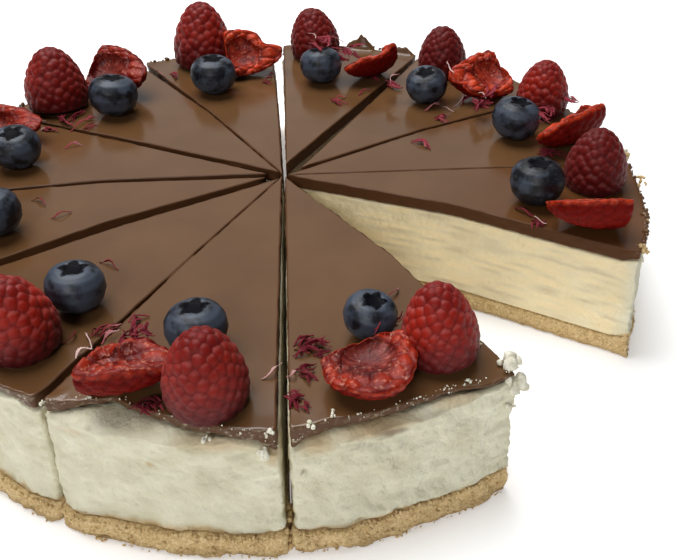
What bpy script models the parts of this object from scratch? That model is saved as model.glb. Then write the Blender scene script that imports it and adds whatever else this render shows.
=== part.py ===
# No-bake cheesecake cut in twelve, with one slice gone: crumb crust, cream filling,
# chocolate glaze, and on every slice a blueberry, a raspberry and half a raspberry.
# Metres, +Z up. The origin is the middle of the cake's underside.
import math
import bpy
import bmesh
from mathutils import Euler, Matrix, Vector, geometry, noise

# The cake: the radius is that of the glaze's edge, and the foot spreads beyond it
cake_radius = 0.120
cake_height = 0.0397
foot_spread = 0.0018
crust_height = 0.0064
glaze_thickness = 0.0043
layer_gap = 0.0003
edge_gap = 0.0007
glaze_top = cake_height
filling_top = cake_height - glaze_thickness - layer_gap

# The rim of every layer
rim_steps = 8
edge_band = 0.0050
edge_round = 0.0006
edge_wave_size = 0.030
crust_slant = 0.0018
thick_crust_side = -15.0
crust_wave = 0.0008
crust_crag = 0.0012
crust_crag_size = 0.009
filling_setback = 0.0007
filling_lump = 0.0005
filling_lump_size = 0.014
glaze_edge_rise = 0.0012
glaze_wave = 0.0010
lip_height = 0.0009
# Directions in degrees where the glaze ran down the side, and how far
glaze_runs = ((27.0, 0.0020), (91.0, 0.0024), (152.0, 0.0030), (199.0, 0.0026))
glaze_run_width = 0.010
# The glaze's edge round the front: direction, how far it stops short of the rim, and how
# high the filling stands under it; it dips where it ran down the front cut
front_edge = [
    (-122.0, 0.0003, 0.0012),
    (-118.6, 0.0005, 0.0004),
    (-114.0, 0.0049, 0.0022),
    (-110.9, 0.0078, 0.0024),
    (-107.0, 0.0056, 0.0021),
    (-100.6, 0.0030, 0.0012),
    (-96.3, 0.0008, 0.0016),
    (-93.2, 0.0006, 0.0004),
    (-90.6, 0.0003, -0.0040),
    (-88.0, 0.0014, -0.0002),
    (-85.0, 0.0030, 0.0009),
    (-80.0, 0.0030, 0.0014),
    (-70.4, 0.0034, 0.0025),
    (-66.0, 0.0008, 0.0030),
    (-62.0, 0.0003, 0.0030),
]
shoulder_drop = 0.25
shoulder_least = 0.0004

# Knife cuts, anticlockwise from the open slot: direction in degrees from +X halfway out
# and at the rim, then the width left open at the tips, halfway out and at the rim
cuts = [
    (-24.5, -29.0, 0.0008, 0.0004, 0.0004),
    (-0.8, -0.8, 0.0005, 0.0005, 0.0006),
    (30.3, 27.4, 0.0015, 0.0010, 0.0005),
    (60.0, 60.0, 0.0050, 0.0030, 0.0007),
    (90.6, 91.0, 0.0006, 0.0022, 0.0050),
    (117.7, 119.8, 0.0006, 0.0012, 0.0025),
    (151.4, 151.9, 0.0030, 0.0025, 0.0010),
    (179.4, 183.0, 0.0030, 0.0020, 0.0010),
    (207.3, 210.2, 0.0030, 0.0046, 0.0030),
    (240.3, 241.1, 0.0006, 0.0007, 0.0025),
    (269.5, 269.5, 0.0010, 0.0020, 0.0030),
    (301.5, 297.8, 0.0006, 0.0004, 0.0004),
]
slice_count = len(cuts) - 1
# How far a slice was drawn out of the ring, by its number
drawn_out = {3: 0.0016, 4: 0.0022}

# Berries of each slice, in the order of the slices: distance from the centre, direction
# in degrees, width, and for the raspberries the height
blueberries = [
    (0.0847, -17.3, 0.0176),
    (0.0865, 14.4, 0.0178),
    (0.0812, 44.4, 0.0164),
    (0.0796, 77.8, 0.0172),
    (0.0769, 110.7, 0.0180),
    (0.0833, 140.2, 0.0182),
    (0.0909, 170.5, 0.0164),
    (0.0895, 199.8, 0.0166),
    (0.0886, 231.8, 0.0156),
    (0.0922, 256.4, 0.0158),
    (0.0893, 283.3, 0.0140),
]
raspberries = [
    (0.1046, -8.5, 0.0212, 0.0196),
    (0.1096, 23.4, 0.0206, 0.0196),
    (0.1096, 51.4, 0.0210, 0.0192),
    (0.1096, 81.8, 0.0222, 0.0200),
    (0.1086, 108.0, 0.0250, 0.0254),
    (0.1058, 144.4, 0.0238, 0.0220),
    (0.1100, 168.6, 0.0204, 0.0190),
    (0.1070, 194.8, 0.0208, 0.0196),
    (0.1064, 232.4, 0.0202, 0.0200),
    (0.1094, 260.4, 0.0206, 0.0198),
    (0.1050, 291.5, 0.0200, 0.0196),
]
# Distance from the centre, direction, then length, width and depth of the half, how it is
# turned on the cake and how far its cut face tips to its side, with the angles in degrees
half_raspberries = [
    (0.1005, -25.0, 0.0234, 0.0200, 0.0082, 268, 26),
    (0.1002, 6.6, 0.0280, 0.0206, 0.0088, 312, 42),
    (0.0965, 36.5, 0.0250, 0.0214, 0.0088, 290, -32),
    (0.0873, 66.4, 0.0224, 0.0196, 0.0080, 315, 36),
    (0.0915, 96.8, 0.0236, 0.0206, 0.0086, 100, 52),
    (0.0968, 131.2, 0.0250, 0.0220, 0.0086, 60, 40),
    (0.1020, 160.6, 0.0220, 0.0184, 0.0070, 80, 16),
    (0.1088, 204.6, 0.0216, 0.0186, 0.0080, 30, 14),
    (0.1062, 224.2, 0.0210, 0.0186, 0.0080, 120, 20),
    (0.1080, 250.8, 0.0214, 0.0192, 0.0082, 84, -16),
    (0.1108, 280.8, 0.0180, 0.0250, 0.0076, 20, 5),
]
# Slices whose half leans on its raspberry and is one piece with it
joined_halves = (5, 7, 8, 9, 10, 11)

# Berry forms
drupelet_count = 44
drupelet_rise = 0.05
raspberry_taper = 0.32
raspberry_fullness = 0.75
foot_level = -0.5
hollow_share = 0.60
hollow_depth = 0.28
blueberry_sides = 10
blueberry_profile = [(0.50, 0.03), (0.97, 0.33), (0.96, 0.66), (0.50, 0.95), (0.34, 1.06)]
blueberry_flatness = 0.80
crown_notch = 0.10
crown_floor = 0.86

# Petal shreds on the glaze of each slice: distance from the centre, direction, heading
# and length, with the angles in degrees
shreds = [
    [(0.0820, -23.0, -55, 0.0088)],
    [(0.0536, 19.8, -52, 0.0110), (0.0945, 5.4, -33, 0.0067)],
    [(0.0735, 33.6, 4, 0.0063), (0.0908, 37.2, 45, 0.0077)],
    [(0.0742, 63.4, 40, 0.0070), (0.0653, 69.9, 12, 0.0075)],
    [(0.0823, 94.2, 53, 0.0076), (0.1000, 116.6, -61, 0.0084)],
    [(0.0933, 146.7, 59, 0.0104), (0.0874, 145.7, 16, 0.0060)],
    [(0.0949, 154.4, -29, 0.0083), (0.0790, 160.0, 20, 0.0070)],
    [(0.0783, 189.0, -36, 0.0073), (0.0720, 197.0, 30, 0.0068)],
    [(0.0989, 236.8, 60, 0.0068), (0.0706, 225.3, -36, 0.0078)],
    [(0.0857, 243.6, 45, 0.0066), (0.0990, 243.9, 75, 0.0076)],
    [(0.0996, 272.6, 11, 0.0064), (0.0889, 272.8, 36, 0.0066), (0.0771, 292.3, 42, 0.0070)],
]
shred_width = 0.0012
shred_thickness = 0.0007
shred_bend = 50.0
shred_hump = 0.0012
shred_steps = 3


def clear_scene():
    for thing in list(bpy.data.objects):
        bpy.data.objects.remove(thing, do_unlink=True)


def food_material(name, colour, roughness):
    material = bpy.data.materials.new(name)
    material.use_nodes = True
    shader = material.node_tree.nodes["Principled BSDF"]
    shader.inputs["Base Color"].default_value = (*colour, 1.0)
    shader.inputs["Roughness"].default_value = roughness
    shader.inputs["Metallic"].default_value = 0.0
    return material


def add_object(name, mesh, material):
    thing = bpy.data.objects.new(name, mesh)
    thing.data.materials.append(material)
    bpy.context.scene.collection.objects.link(thing)
    return thing


def mesh_from(bm, name):
    bmesh.ops.triangulate(bm, faces=bm.faces)
    bmesh.ops.recalc_face_normals(bm, faces=bm.faces)
    mesh = bpy.data.meshes.new(name)
    bm.to_mesh(mesh)
    bm.free()
    return mesh


def shade(thing, angle):
    thing.data.shade_smooth()
    thing.data.set_sharp_from_angle(angle=math.radians(angle))


def apply_modifiers(thing):
    bpy.context.view_layer.update()
    graph = bpy.context.evaluated_depsgraph_get()
    mesh = bpy.data.meshes.new_from_object(thing.evaluated_get(graph))
    thing.modifiers.clear()
    thing.data = mesh


def fuse(thing, pieces):
    # one union with a collection of pieces, which then go
    group = bpy.data.collections.new(thing.name + "_pieces")
    bpy.context.scene.collection.children.link(group)
    for piece in pieces:
        group.objects.link(piece)
    union = thing.modifiers.new("union", "BOOLEAN")
    union.operation = "UNION"
    union.operand_type = "COLLECTION"
    union.collection = group
    apply_modifiers(thing)
    for piece in pieces:
        bpy.data.objects.remove(piece, do_unlink=True)
    bpy.data.collections.remove(group)


def polar(distance, degrees):
    turn = math.radians(degrees)
    return Vector((distance * math.cos(turn), distance * math.sin(turn), 0.0))


def direction_of(place):
    return math.degrees(math.atan2(place.y, place.x))


def rim_noise(degrees, size, seed):
    # smooth noise along the rim, about -1 to 1, whose swells are about size long
    place = polar(cake_radius, degrees) / size
    return 1.6 * noise.noise(place + Vector((0.0, 0.0, 7.3 * seed)))


def nearness(degrees, direction, width):
    # 1 in the direction, falling smoothly to 0 at the width from it along the rim
    away = math.radians(abs((degrees - direction + 180.0) % 360.0 - 180.0)) * cake_radius
    return max(0.0, 1.0 - away / width) ** 2


# Layer heights and edges, as functions of the direction in degrees; at_rim is 1 on the
# rim and 0 further in, where the layers are level


def level(z):
    return lambda degrees, at_rim: z


def crust_top(degrees, at_rim):
    # pressed thicker on one side of the cake, and uneven
    slant = crust_slant * math.cos(math.radians(degrees - thick_crust_side))
    swell = crust_wave * rim_noise(degrees, edge_wave_size, 1)
    return crust_height + (slant + swell) * at_rim


def edge_facts(degrees):
    # how far the glaze's edge stops short of the rim, and the filling's rise under it
    for one, other in zip(front_edge, front_edge[1:]):
        along = (degrees - one[0]) % 360.0 / (other[0] - one[0])
        if along <= 1.0:
            return [one[k] + (other[k] - one[k]) * along for k in (1, 2)]
    rise = glaze_edge_rise + glaze_wave * rim_noise(degrees, edge_wave_size, 2)
    for direction, depth in glaze_runs:
        rise -= depth * nearness(degrees, direction, glaze_run_width)
    return front_edge[0][1], rise


def wall_radius(z):
    # the side leans out from the glaze's edge to the foot
    return cake_radius + foot_spread * (1.0 - z / cake_height)


def crust_rim(z):
    def radius(degrees):
        place = polar(cake_radius, degrees) / crust_crag_size + Vector((0.0, 0.0, z * 300.0))
        return wall_radius(z) + crust_crag * noise.noise(place)
    return radius


def filling_rim(z):
    def radius(degrees):
        place = polar(cake_radius, degrees) / filling_lump_size + Vector((0.0, 0.0, z * 90.0))
        return wall_radius(z) - filling_setback + filling_lump * noise.noise(place)
    return radius


def glaze_rim(bulge):
    def radius(degrees):
        short = edge_facts(degrees)[0]
        return cake_radius + bulge - short + 0.0004 * rim_noise(degrees, edge_wave_size, 3)
    return radius


def bank(gap):
    # the filling's top slopes evenly across the edge band to its height at the glaze's edge
    return lambda degrees, at_rim: filling_top + gap + edge_facts(degrees)[1] * at_rim


def shoulder_rim(degrees):
    return max(filling_rim(filling_top)(degrees), glaze_rim(0.0)(degrees) + layer_gap)


def shoulder(degrees, at_rim):
    # outside the glaze's edge the filling falls again to the side
    short, rise = edge_facts(degrees)
    return filling_top + (rise - shoulder_least - shoulder_drop * short) * at_rim


# Slices: every layer is a loft of outlines that share one layout of points


def cut_at(cut, distance):
    # direction and width there: both change evenly from halfway out to the rim, and the
    # width also from the tip to halfway
    middle, rim, tip_width, middle_width, rim_width = cut
    share = 2.0 * distance / cake_radius
    if share < 1.0:
        return middle, tip_width + (middle_width - tip_width) * share
    share -= 1.0
    return middle + (rim - middle) * share, middle_width + (rim_width - middle_width) * share


def side_point(cut, side, distance, inset):
    # a point beside the cut: side is 1 on its anticlockwise bank and -1 on the other
    direction, width = cut_at(cut, distance)
    across = polar(1.0, direction + 90.0) * side
    return polar(distance, direction) + across * (width / 2.0 + inset)


def slice_outline(index, inset, rim_radius, height):
    # the outline runs tip, first side, rim, second side
    first = cuts[index]
    second = cuts[index + 1]
    stations = (0.0, cake_radius / 2.0, cake_radius - edge_band - inset)
    side = [side_point(first, 1, station, inset) for station in stations]
    far_side = [side_point(second, -1, station, inset) for station in stations]
    tip = geometry.intersect_line_line(side[0], side[1], far_side[0], far_side[1])[0]
    # every outline has its rim points in the same directions, but for the corners
    corner = side_point(first, 1, cake_radius, 0.0)
    far_corner = side_point(second, -1, cake_radius, 0.0)
    start = direction_of(corner)
    sweep = (direction_of(far_corner) - start) % 360.0
    narrower = math.degrees(inset / (cake_radius - inset))
    points = [(tip, 0.0), (side[1], 0.0), (side[2], 0.0)]
    for step in range(rim_steps + 1):
        along = min(max(sweep * step / rim_steps, narrower), sweep - narrower)
        degrees = start + along
        points.append((polar(rim_radius(degrees) - inset, degrees), 1.0))
    points += [(far_side[2], 0.0), (far_side[1], 0.0)]
    out = polar(drawn_out.get(index + 1, 0.0), start + sweep / 2.0)
    ring = []
    for place, at_rim in points:
        z = height(direction_of(place), at_rim)
        ring.append(Vector((place.x + out.x, place.y + out.y, z)))
    return ring


def loft(name, rings):
    # strips of triangles between the outlines, whose slant is mirrored about the middle
    # of the slice; the lowest strip slants the other way, so that a layer's underside
    # has the same creases as the top of the layer below
    bm = bmesh.new()
    rows = [[bm.verts.new(place) for place in ring] for ring in rings]
    middle = len(rows[0]) // 2
    for strip, (lower, upper) in enumerate(zip(rows, rows[1:])):
        for k in range(len(lower)):
            after = (k + 1) % len(lower)
            if (strip == 0) == (k < middle):
                bm.faces.new((lower[k], lower[after], upper[k]))
                bm.faces.new((lower[after], upper[after], upper[k]))
            else:
                bm.faces.new((lower[k], lower[after], upper[after]))
                bm.faces.new((lower[k], upper[after], upper[k]))
    bm.faces.new(list(reversed(rows[0])))
    bm.faces.new(rows[-1])
    return mesh_from(bm, name)


def build_crust(index, material):
    rings = [
        slice_outline(index, edge_round, crust_rim(0.0), level(0.0)),
        slice_outline(index, 0.0, crust_rim(0.0015), level(0.0015)),
        slice_outline(index, 0.0, crust_rim(0.0034), level(0.0034)),
        slice_outline(index, 0.0, crust_rim(crust_height), crust_top),
        slice_outline(index, edge_band, crust_rim(crust_height), level(crust_height)),
    ]
    name = f"crust_{index + 1:02d}"
    return add_object(name, loft(name, rings), material)


def build_filling(index, material):
    def bottom(degrees, at_rim):
        return crust_top(degrees, at_rim) + layer_gap
    rings = [
        slice_outline(index, edge_band, crust_rim(crust_height), level(crust_height + layer_gap)),
        slice_outline(index, 0.0, crust_rim(crust_height), bottom),
        slice_outline(index, 0.0, filling_rim(0.016), level(0.016)),
        slice_outline(index, 0.0, filling_rim(0.025), level(0.025)),
        slice_outline(index, 0.0, shoulder_rim, shoulder),
        slice_outline(index, edge_round, glaze_rim(edge_round), bank(0.0)),
        slice_outline(index, edge_band, glaze_rim(0.0), level(filling_top)),
    ]
    name = f"filling_{index + 1:02d}"
    return add_object(name, loft(name, rings), material)


def build_glaze(index, material):
    def lip(degrees, at_rim):
        # lower where the edge stops short of the rim
        rise = lip_height * (0.7 + rim_noise(degrees, edge_wave_size, 4))
        return glaze_top + max(0.0, rise - 0.3 * edge_facts(degrees)[0]) * at_rim

    def under_lip(degrees, at_rim):
        return lip(degrees, at_rim) - edge_round
    rings = [
        slice_outline(index, edge_band, glaze_rim(0.0), level(filling_top + layer_gap)),
        slice_outline(index, 0.0, glaze_rim(-0.0002), bank(edge_gap)),
        slice_outline(index, 0.0, glaze_rim(0.0), under_lip),
        slice_outline(index, edge_round, glaze_rim(0.0), lip),
        slice_outline(index, edge_band, glaze_rim(0.0), level(glaze_top)),
    ]
    name = f"glaze_{index + 1:02d}"
    return add_object(name, loft(name, rings), material)


# Petal shreds: bent strips with both ends sunk in the glaze, clear of the berries


def build_shred(name, shred, bend, material):
    distance, degrees, heading, length = shred
    bm = bmesh.new()
    rows = []
    place = polar(distance, degrees) - polar(length / 2.0, heading)
    for step in range(shred_steps + 1):
        share = step / shred_steps
        way = heading + bend * (share - 0.5)
        if step:
            place = place + polar(length / shred_steps, way)
        lift = glaze_top - shred_thickness * 0.6 + shred_hump * math.sin(math.pi * share)
        across = polar(shred_width / 2.0, way + 90.0)
        corners = (across, -across)
        row = [Vector((place.x + c.x, place.y + c.y, lift)) for c in corners]
        row += [Vector((place.x + c.x, place.y + c.y, lift + shred_thickness)) for c in reversed(corners)]
        rows.append([bm.verts.new(corner) for corner in row])
    for one, other in zip(rows, rows[1:]):
        for k in range(4):
            after = (k + 1) % 4
            bm.faces.new((one[k], one[after], other[after], other[k]))
    bm.faces.new(rows[0])
    bm.faces.new(rows[-1])
    return add_object(name, mesh_from(bm, name), material)


def build_shreds(index, material):
    strips = []
    for number, shred in enumerate(shreds[index]):
        bend = shred_bend * (-1) ** (number + index)
        strips.append(build_shred(f"shred_{index}_{number}", shred, bend, material))
    return strips


# Berries: each is made about its own axis, leaned and turned, and set down on the glaze


def set_down(thing, distance, degrees, lay):
    thing.matrix_world = Matrix.Translation(polar(distance, degrees)) @ lay
    lowest = min((thing.matrix_world @ corner.co).z for corner in thing.data.vertices)
    thing.location.z += glaze_top + layer_gap - lowest


def build_blueberry(index, material):
    distance, degrees, width = blueberries[index]
    bm = bmesh.new()
    rows = []
    height = width * blueberry_flatness
    for share, rise in blueberry_profile:
        ring = []
        for k in range(blueberry_sides):
            notch = crown_notch * (k % 2) if rise > 1.0 else 0.0
            place = polar(share * width / 2.0, 360.0 * k / blueberry_sides)
            ring.append(bm.verts.new((place.x, place.y, (rise - notch) * height)))
        rows.append(ring)
    for lower, upper in zip(rows, rows[1:]):
        for k in range(blueberry_sides):
            after = (k + 1) % blueberry_sides
            bm.faces.new((lower[k], lower[after], upper[after], upper[k]))
    bm.faces.new(list(reversed(rows[0])))
    middle = bm.verts.new((0.0, 0.0, crown_floor * height))
    for k in range(blueberry_sides):
        bm.faces.new((rows[-1][k], rows[-1][(k + 1) % blueberry_sides], middle))
    name = f"blueberry_{index + 1:02d}"
    berry = add_object(name, mesh_from(bm, name), material)
    shade(berry, 50)
    lean = math.radians(12.0 * math.sin(2.4 * index))
    set_down(berry, distance, degrees, Euler((lean, lean / 2.0, index)).to_matrix().to_4x4())
    return berry


def raspberry_place(direction, width, height, swell):
    # a unit direction laid onto a rounded cone with a flat foot; swell is in shares of it
    share = min(1.0, max(0.0, (direction.z - foot_level) / (1.0 - foot_level)))
    out = direction.to_2d()
    reach = out.length ** raspberry_fullness
    out = out.normalized() * reach * width / 2.0 * (1.0 + swell) * (1.0 - raspberry_taper * share ** 1.6)
    return Vector((out.x, out.y, height * share * (1.0 + swell / 2.0)))


def raspberry_mesh(name, width, height):
    # spiral seeds on a ball are the drupelets' crowns, and the middle of each face of
    # their hull is where three drupelets meet
    hull = bmesh.new()
    for k in range(drupelet_count):
        z = 1.0 - (2.0 * k + 1.0) / drupelet_count
        around = polar(math.sqrt(1.0 - z * z), math.degrees(math.pi * (3.0 - math.sqrt(5.0)) * k))
        hull.verts.new((around.x, around.y, z))
    bmesh.ops.convex_hull(hull, input=hull.verts)
    bm = bmesh.new()
    peaks = {}
    dips = {}
    for vert in hull.verts:
        peaks[vert] = bm.verts.new(raspberry_place(vert.co.normalized(), width, height, drupelet_rise))
    for face in hull.faces:
        middle = face.calc_center_median().normalized()
        dips[face] = bm.verts.new(raspberry_place(middle, width, height, -drupelet_rise))
    for edge in hull.edges:
        one, other = edge.link_faces
        for peak in edge.verts:
            bm.faces.new((peaks[peak], dips[one], dips[other]))
    hull.free()
    return mesh_from(bm, name)


def build_raspberry(index, material):
    distance, degrees, width, height = raspberries[index]
    name = f"raspberry_{index + 1:02d}"
    berry = add_object(name, raspberry_mesh(name, width, height), material)
    shade(berry, 30)
    lean = math.radians(5.0 * math.sin(1.7 * index))
    set_down(berry, distance, degrees, Euler((lean, -lean, 0.8 * index)).to_matrix().to_4x4())
    return berry


def build_half(index, material):
    # a raspberry halved along its axis, hollow where its core was, on its round side
    distance, degrees, length, width, depth, turn, tip = half_raspberries[index]
    name = f"half_raspberry_{index + 1:02d}"
    bm = bmesh.new()
    bm.from_mesh(raspberry_mesh(name, width, length))
    parts = list(bm.verts) + list(bm.edges) + list(bm.faces)
    sliced = bmesh.ops.bisect_plane(bm, geom=parts, dist=1e-6, plane_co=(0, 0, 0),
                                    plane_no=(0, 1, 0), clear_outer=True)
    rim = [part for part in sliced["geom_cut"] if isinstance(part, bmesh.types.BMEdge)]
    bmesh.ops.contextual_create(bm, geom=rim)
    half = add_object(name, mesh_from(bm, name), material)
    bm = bmesh.new()
    bmesh.ops.create_uvsphere(bm, u_segments=8, v_segments=5, radius=1.0)
    bmesh.ops.scale(bm, vec=Vector((width, width, length)) * hollow_share / 2.0, verts=bm.verts)
    bmesh.ops.translate(bm, vec=(0.0, 0.0, length * hollow_depth), verts=bm.verts)
    core = add_object(name + "_core", mesh_from(bm, name + "_core"), material)
    hollow = half.modifiers.new("hollow", "BOOLEAN")
    hollow.object = core
    apply_modifiers(half)
    bpy.data.objects.remove(core, do_unlink=True)
    shade(half, 30)
    lay = Euler((math.radians(90.0), 0.0, math.radians(turn))).to_matrix()
    lay = (lay @ Matrix.Rotation(math.radians(tip), 3, "Z")).to_4x4()
    # its own weight flattens it to its depth
    lay = lay @ Matrix.Diagonal((1.0, depth / (width / 2.0), 1.0, 1.0))
    set_down(half, distance, degrees, lay @ Matrix.Translation((0.0, 0.0, -length / 2.0)))
    return half


def main():
    clear_scene()
    crust = food_material("crumb crust", (0.42, 0.30, 0.15), 0.9)
    filling = food_material("cream filling", (0.60, 0.57, 0.42), 0.6)
    glaze = food_material("chocolate glaze", (0.18, 0.10, 0.06), 0.3)
    blue = food_material("blueberry skin", (0.03, 0.035, 0.05), 0.5)
    red = food_material("raspberry", (0.25, 0.022, 0.018), 0.4)
    for index in range(slice_count):
        build_crust(index, crust)
        build_filling(index, filling)
        fuse(build_glaze(index, glaze), build_shreds(index, glaze))
        build_blueberry(index, blue)
        berry = build_raspberry(index, red)
        half = build_half(index, red)
        if index + 1 in joined_halves:
            fuse(berry, [half])


main()
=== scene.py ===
import math

import bpy
import numpy as np
from mathutils import Euler, Matrix, Vector, noise
from mathutils.bvhtree import BVHTree


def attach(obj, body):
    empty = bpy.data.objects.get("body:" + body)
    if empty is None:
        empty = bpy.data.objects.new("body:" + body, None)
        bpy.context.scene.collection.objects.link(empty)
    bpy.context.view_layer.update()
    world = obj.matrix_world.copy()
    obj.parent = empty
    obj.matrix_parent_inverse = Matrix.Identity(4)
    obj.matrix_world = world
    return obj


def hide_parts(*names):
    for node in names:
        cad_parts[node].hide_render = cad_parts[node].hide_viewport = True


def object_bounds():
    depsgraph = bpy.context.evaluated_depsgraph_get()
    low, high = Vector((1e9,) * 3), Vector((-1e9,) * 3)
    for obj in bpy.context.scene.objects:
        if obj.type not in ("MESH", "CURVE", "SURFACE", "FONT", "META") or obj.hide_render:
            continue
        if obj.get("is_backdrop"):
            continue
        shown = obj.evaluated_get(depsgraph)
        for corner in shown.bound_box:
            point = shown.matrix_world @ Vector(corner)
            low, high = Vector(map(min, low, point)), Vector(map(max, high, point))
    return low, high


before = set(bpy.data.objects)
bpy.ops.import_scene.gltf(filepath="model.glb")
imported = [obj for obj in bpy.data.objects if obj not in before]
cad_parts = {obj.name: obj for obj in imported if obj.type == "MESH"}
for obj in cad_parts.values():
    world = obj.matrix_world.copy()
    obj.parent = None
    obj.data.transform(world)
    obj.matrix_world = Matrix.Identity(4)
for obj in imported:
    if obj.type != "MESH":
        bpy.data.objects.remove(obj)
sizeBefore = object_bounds()
print("frame loaded", len(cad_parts), "nodes")

# Sizes shared with the solids, in metres and degrees, +Z up and the cake's middle at 0, 0
cake = {
    "radius": 0.120,
    "height": 0.0397,
    "footSpread": 0.0018,
    "crustHeight": 0.0064,
    "glazeThickness": 0.0043,
    "layerGap": 0.0003,
    "edgeGap": 0.0007,
    "band": 0.0050,  # the rim's uneven strip
    "waveSize": 0.030,
    "sliceCount": 11,
    "shifted": {3: 0.0016, 4: 0.0022},  # slices drawn out from the middle
}
cake["fillingTop"] = cake["height"] - cake["glazeThickness"] - cake["layerGap"]
# each cut: direction halfway out, direction at the rim, width at the tip, halfway and at the rim
cuts = [
    (-24.5, -29.0, 0.0008, 0.0004, 0.0004),
    (-0.8, -0.8, 0.0005, 0.0005, 0.0006),
    (30.3, 27.4, 0.0015, 0.0010, 0.0005),
    (60.0, 60.0, 0.0050, 0.0030, 0.0007),
    (90.6, 91.0, 0.0006, 0.0022, 0.0050),
    (117.7, 119.8, 0.0006, 0.0012, 0.0025),
    (151.4, 151.9, 0.0030, 0.0025, 0.0010),
    (179.4, 183.0, 0.0030, 0.0020, 0.0010),
    (207.3, 210.2, 0.0030, 0.0046, 0.0030),
    (240.3, 241.1, 0.0006, 0.0007, 0.0025),
    (269.5, 269.5, 0.0010, 0.0020, 0.0030),
    (301.5, 297.8, 0.0006, 0.0004, 0.0004),
]
# The camera: metres, radians, lens and sensor in mm; the rest in pixels of its frame
view = {
    "place": (0.00601, -0.25637, 0.17871),
    "turns": (("Z", -0.11518), ("X", 0.96497), ("Z", 0.014626)),
    "lens": 43.592,
    "sensor": 36.0,
    "width": 700.0,
    "height": 560.0,
    "shiftX": -36.335,
    "shiftY": -14.53,
}

# gaps that are narrower than the solids', by the number of the cut: shares for crust and cream,
# and for the glaze
lowGaps = {4: (0.6, 0.7), 9: (0.35, 0.35), 10: (0.30, 0.65)}
glazeGaps = {9: 0.3, 5: 0.6, 1: 0.5}
crustLayer, creamLayer, glazeLayer = 0, 1, 2


# Arrays of points

def polarPoints(distance, degrees):
    turn = np.radians(degrees)
    return np.stack([distance * np.cos(turn), distance * np.sin(turn)], axis=-1)


def withHeight(plan, z):
    return np.concatenate([plan, z[..., None]], axis=-1)


def directionOf(places):
    return np.degrees(np.arctan2(places[..., 1], places[..., 0])) % 360.0


def radiusOf(places):
    return np.hypot(places[..., 0], places[..., 1])


def turnBetween(degrees, direction):
    # from -180 to 180
    return (degrees - direction + 180.0) % 360.0 - 180.0


def bandShare(radius, edge):
    # from 0 where the uneven strip starts to 1 at the edge
    return np.clip((radius - edge + cake["band"]) / cake["band"], 0.0, 1.0)


def cameraTurn():
    turned = Matrix.Identity(3)
    for axis, angle in view["turns"]:
        turned = turned @ Matrix.Rotation(angle, 3, axis)
    return turned


def fromPixel(u, v, level):
    # where the camera's ray through that pixel crosses the level
    focal = view["lens"] / view["sensor"] * view["width"]
    right = (u - view["width"] / 2.0 + view["shiftX"]) / focal
    up = (view["height"] / 2.0 + view["shiftY"] - v) / focal
    ray = np.array(cameraTurn()) @ np.array([right, up, -1.0])
    share = (level - view["place"][2]) / ray[2]
    return np.array(view["place"])[:2] + share * ray[:2]


def placeOf(point):
    # distance from the middle and direction, to 0.1 mm and 0.1 degree
    return round(math.hypot(*point), 4), round(float(directionOf(point)), 1)


def smoothStep(value, low, high):
    # 3t^2 - 2t^3 between low and high
    t = np.clip((value - low) / (high - low), 0.0, 1.0)
    return t * t * (3.0 - 2.0 * t)


def latticeNoise(places, size, seed):
    # random heights from -1 to 1 on a lattice of that spacing, blended by 3t^2 - 2t^3
    cells = np.asarray(places, dtype=float) / size + 31.7 * seed
    low = np.floor(cells).astype(np.int64)
    part = cells - low
    part = part * part * (3.0 - 2.0 * part)
    total = np.zeros(cells.shape[:-1])
    for corner in range(8):
        step = np.array([corner & 1, corner >> 1 & 1, corner >> 2 & 1])
        at = (low + step) * np.array([73856093, 19349663, 83492791])
        mixed = (at[..., 0] ^ at[..., 1] ^ at[..., 2]) + 7919 * seed
        mixed = ((mixed ^ (mixed >> 13)) * 1274126177) & 0x7FFFFFFF
        mixed = mixed ^ (mixed >> 15)
        weight = np.where(step == 1, part, 1.0 - part).prod(axis=-1)
        total += weight * ((mixed & 0xFFFF) / 32767.5 - 1.0)
    return total


def roughness(places, size, seed, octaves=3):
    # each octave has half the size and 0.55 of the height of the one before
    total = 0.0
    for octave in range(octaves):
        total = total + 0.55 ** octave * latticeNoise(places, size / 2.0 ** octave, seed + octave)
    return total


# Meshes from arrays

def makePiece(name, places, quads, tris, values, material):
    # faces are turned outwards when the summed volume of their tetrahedra is negative
    places = np.ascontiguousarray(places, dtype=np.float32)
    quads = np.asarray(quads, dtype=np.int32).reshape(-1, 4)
    tris = np.asarray(tris, dtype=np.int32).reshape(-1, 3)
    allTris = np.concatenate([quads[:, [0, 1, 2]], quads[:, [0, 2, 3]], tris])
    a, b, c = (places[allTris[:, k]].astype(float) for k in range(3))
    if np.einsum("ij,ij->", a, np.cross(b, c)) < 0.0:
        quads, tris = quads[:, ::-1], tris[:, ::-1]
    corners = np.concatenate([quads.ravel(), tris.ravel()])
    starts = np.concatenate([np.arange(len(quads)) * 4, len(quads) * 4 + np.arange(len(tris)) * 3])
    mesh = bpy.data.meshes.new(name)
    mesh.vertices.add(len(places))
    mesh.vertices.foreach_set("co", places.ravel())
    mesh.loops.add(len(corners))
    mesh.loops.foreach_set("vertex_index", corners.astype(np.int32))
    mesh.polygons.add(len(starts))
    mesh.polygons.foreach_set("loop_start", starts.astype(np.int32))
    mesh.update(calc_edges=True)
    mesh.polygons.foreach_set("use_smooth", np.ones(len(starts), dtype=bool))
    for key, value in values.items():
        attribute = mesh.attributes.new(key, "FLOAT", "POINT")
        attribute.data.foreach_set("value", np.ascontiguousarray(value, dtype=np.float32).ravel())
    mesh.materials.append(material)
    piece = bpy.data.objects.new(name, mesh)
    bpy.context.scene.collection.objects.link(piece)
    return piece


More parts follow.
